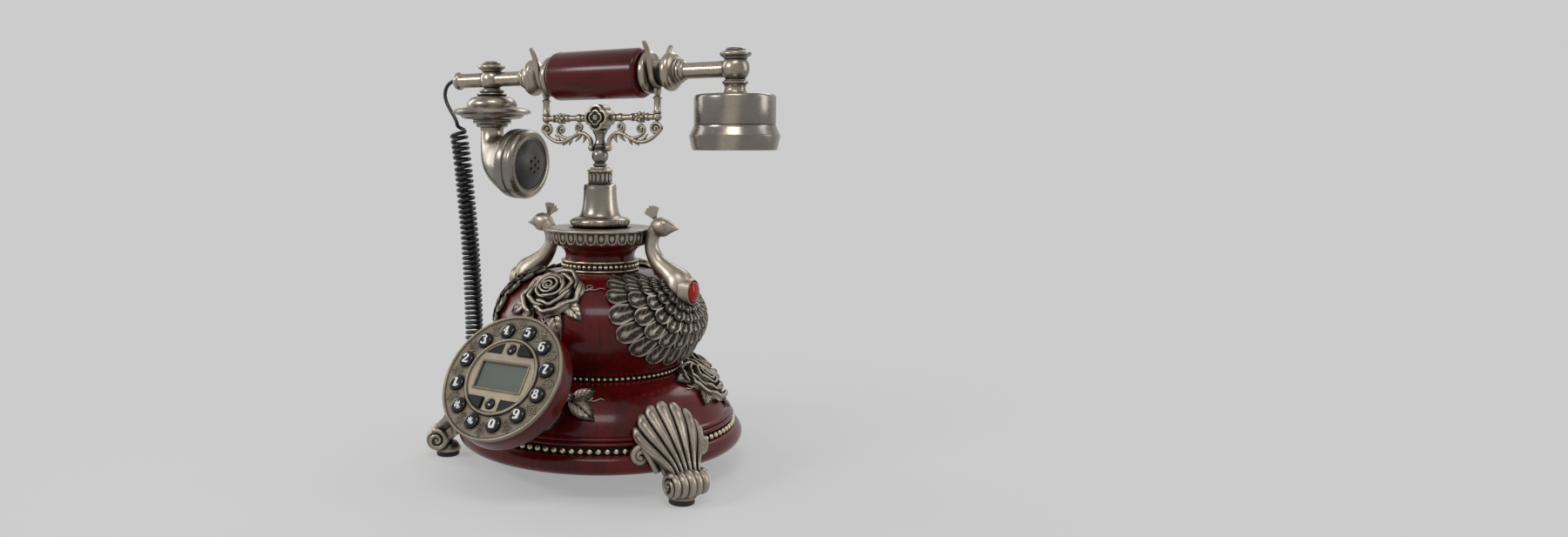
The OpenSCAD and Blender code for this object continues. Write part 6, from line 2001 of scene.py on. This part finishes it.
def backdrop_material():
    """The pale ground: its own colour wherever the object's shadow has faded out."""
    mat = Finish("pale ground")
    tree = mat.tree
    where = mat.node("TexCoord", output="Object")
    away = mat.node("VectorMath", {"operation": "LENGTH"}, {0: where}, output="Value")
    fade = ((away - 0.13) / 0.35).clamped()
    seen = ray_seen(tree, "Camera", "Glossy", "Transmission")
    paper = tree.nodes.new("ShaderNodeBsdfDiffuse")
    paper.inputs["Color"].default_value = (*FLOOR_PAPER, 1)
    glow = tree.nodes.new("ShaderNodeEmission")
    glow.inputs["Color"].default_value = (*BACKDROP, 1)
    mix = tree.nodes.new("ShaderNodeMixShader")
    tree.links.new((seen * (0.55 + fade * 0.45)).socket, mix.inputs[0])
    tree.links.new(paper.outputs[0], mix.inputs[1])
    tree.links.new(glow.outputs[0], mix.inputs[2])
    out = next(n for n in tree.nodes if n.type == "OUTPUT_MATERIAL")
    tree.links.new(mix.outputs[0], out.inputs["Surface"])
    tree.nodes.remove(mat.shader)
    return mat.material


def area_light(name, azimuth, height, away, size, power):
    data = bpy.data.lights.new(name, "AREA")
    data.shape, data.size, data.size_y = "RECTANGLE", size[0], size[1]
    data.energy = power
    lamp = linked(name, data)
    a = radians(azimuth)
    lamp.location = (away * sin(a), -away * cos(a), height)
    aim = LIGHT_TARGET - lamp.location
    lamp.rotation_euler = aim.to_track_quat("-Z", "Y").to_euler()


def build_stage(scene):
    bm = bmesh.new()
    bmesh.ops.create_grid(bm, x_segments=1, y_segments=1, size=FLOOR_HALF)
    mesh = bpy.data.meshes.new("floor")
    bm.to_mesh(mesh)
    bm.free()
    mesh.materials.append(backdrop_material())
    linked("floor", mesh)

    world = bpy.data.worlds.new("studio")
    scene.world = world
    world.use_nodes = True
    tree = world.node_tree
    back = next(n for n in tree.nodes if n.type == "BACKGROUND")
    back.inputs["Color"].default_value = (*BACKDROP, 1)
    strength = ray_seen(tree, "Camera", "Glossy", "Transmission").most(0.5)
    tree.links.new(strength.socket, back.inputs["Strength"])

    area_light("key light", -30, 0.74, 1.1, (0.42, 0.22), 4.2)
    area_light("front light", 30, 1.1, 0.7, (0.5, 0.3), 2.6)
    area_light("left light", -88, 0.55, 1.0, (0.35, 0.8), 2.6)
    area_light("right light", 112, 0.5, 1.0, (0.35, 0.8), 2.4)
    area_light("back light", 180, 1.0, 1.0, (0.8, 0.35), 2.6)

    data = bpy.data.cameras.new("camera")
    data.lens, data.sensor_width = CAMERA_LENS, 36
    data.shift_x, data.shift_y = CAMERA_SHIFT
    data.clip_start, data.clip_end = 0.01, 50
    camera = linked("camera", data)
    out = Vector((sin(CAMERA_TURN) * cos(CAMERA_PITCH), -cos(CAMERA_TURN) * cos(CAMERA_PITCH),
        sin(CAMERA_PITCH)))
    camera.location = CAMERA_TARGET + CAMERA_AWAY * out
    camera.rotation_euler = (-out).to_track_quat("-Z", "Y").to_euler()
    scene.camera = camera
    scene.view_settings.view_transform = "Standard"


class PHONE_OT_stage(bpy.types.Operator):
    """Sets the floor, the backdrop, the soft lights and the camera"""
    bl_idname = "phone.stage"
    bl_label = "Stage, lights and camera"

    def execute(self, context):
        build_stage(context.scene)
        return {"FINISHED"}


# ---------- settings ----------
class PhoneSizes(bpy.types.PropertyGroup):
    wire_thick: FloatProperty(name="Wire", description="Diameter of the cord's wire", default=0.003,
        unit="LENGTH")
    curl_across: FloatProperty(name="Curls", description="Diameter across the cord's curls", default=0.0145,
        unit="LENGTH")


class PhoneCounts(bpy.types.PropertyGroup):
    base_beads: IntProperty(name="Base beads", description="Beads in the base's row", default=105, min=20)
    waist_beads: IntProperty(name="Waist beads", description="Beads in the waist's row", default=92, min=20)
    neck_beads: IntProperty(name="Neck beads", description="Beads in the neck band", default=44, min=12)
    tongues: IntProperty(name="Tongues", description="Tongues round the flange", default=32, min=12)


def colour_property(name, description, default):
    return FloatVectorProperty(name=name, description=description, default=default, subtype="COLOR", min=0,
        max=1)


class PhoneColours(bpy.types.PropertyGroup):
    metal_light: colour_property("Metal", "High places of the plated castings", (0.47, 0.42, 0.355))
    # The colour of the patina and of the painted shade in recesses
    metal_dark: colour_property("Patina", "Recesses of the plated castings", (0.022, 0.017, 0.013))
    bead_light: colour_property("Beads", "Plating of the bead rows", (0.66, 0.585, 0.455))
    dial_light: colour_property("Dial face", "Plating of the dial's face", (0.30, 0.262, 0.205))
    lacquer_bright: colour_property("Lacquer", "Light grain of the lacquered wood", (0.135, 0.004, 0.0035))
    lacquer_deep: colour_property("Lacquer grain", "Dark grain of the lacquered wood", (0.03, 0.0015, 0.0015))


class PHONE_PT_panel(bpy.types.Panel):
    """Lists the telephone's pieces and settings"""
    bl_idname = "PHONE_PT_panel"
    bl_label = "Cradle telephone"
    bl_space_type = "VIEW_3D"
    bl_region_type = "UI"
    bl_category = "Telephone"

    def draw(self, context):
        for group in (context.scene.phone_sizes, context.scene.phone_counts, context.scene.phone_colours):
            for key in group.__annotations__:
                self.layout.prop(group, key)
        for operator in OPERATORS:
            self.layout.operator(operator.bl_idname)


OPERATORS = (PHONE_OT_stage, PHONE_OT_finishes, PHONE_OT_dress_nodes, PHONE_OT_cord, PHONE_OT_shells,
    PHONE_OT_beads, PHONE_OT_flange, PHONE_OT_peacocks, PHONE_OT_roses, PHONE_OT_legs, PHONE_OT_pedestal,
    PHONE_OT_cradle, PHONE_OT_handset, PHONE_OT_dial)
CLASSES = (PhoneSizes, PhoneCounts, PhoneColours, *OPERATORS, PHONE_PT_panel)


def register():
    for cls in CLASSES:
        bpy.utils.register_class(cls)
    bpy.types.Scene.phone_sizes = PointerProperty(type=PhoneSizes)
    bpy.types.Scene.phone_counts = PointerProperty(type=PhoneCounts)
    bpy.types.Scene.phone_colours = PointerProperty(type=PhoneColours)


def unregister():
    del bpy.types.Scene.phone_colours
    del bpy.types.Scene.phone_counts
    del bpy.types.Scene.phone_sizes
    for cls in reversed(CLASSES):
        bpy.utils.unregister_class(cls)


def main():
    register()
    for operator in OPERATORS:
        group, name = operator.bl_idname.split(".")
        getattr(getattr(bpy.ops, group), name)()


if __name__ == "__main__":
    main()
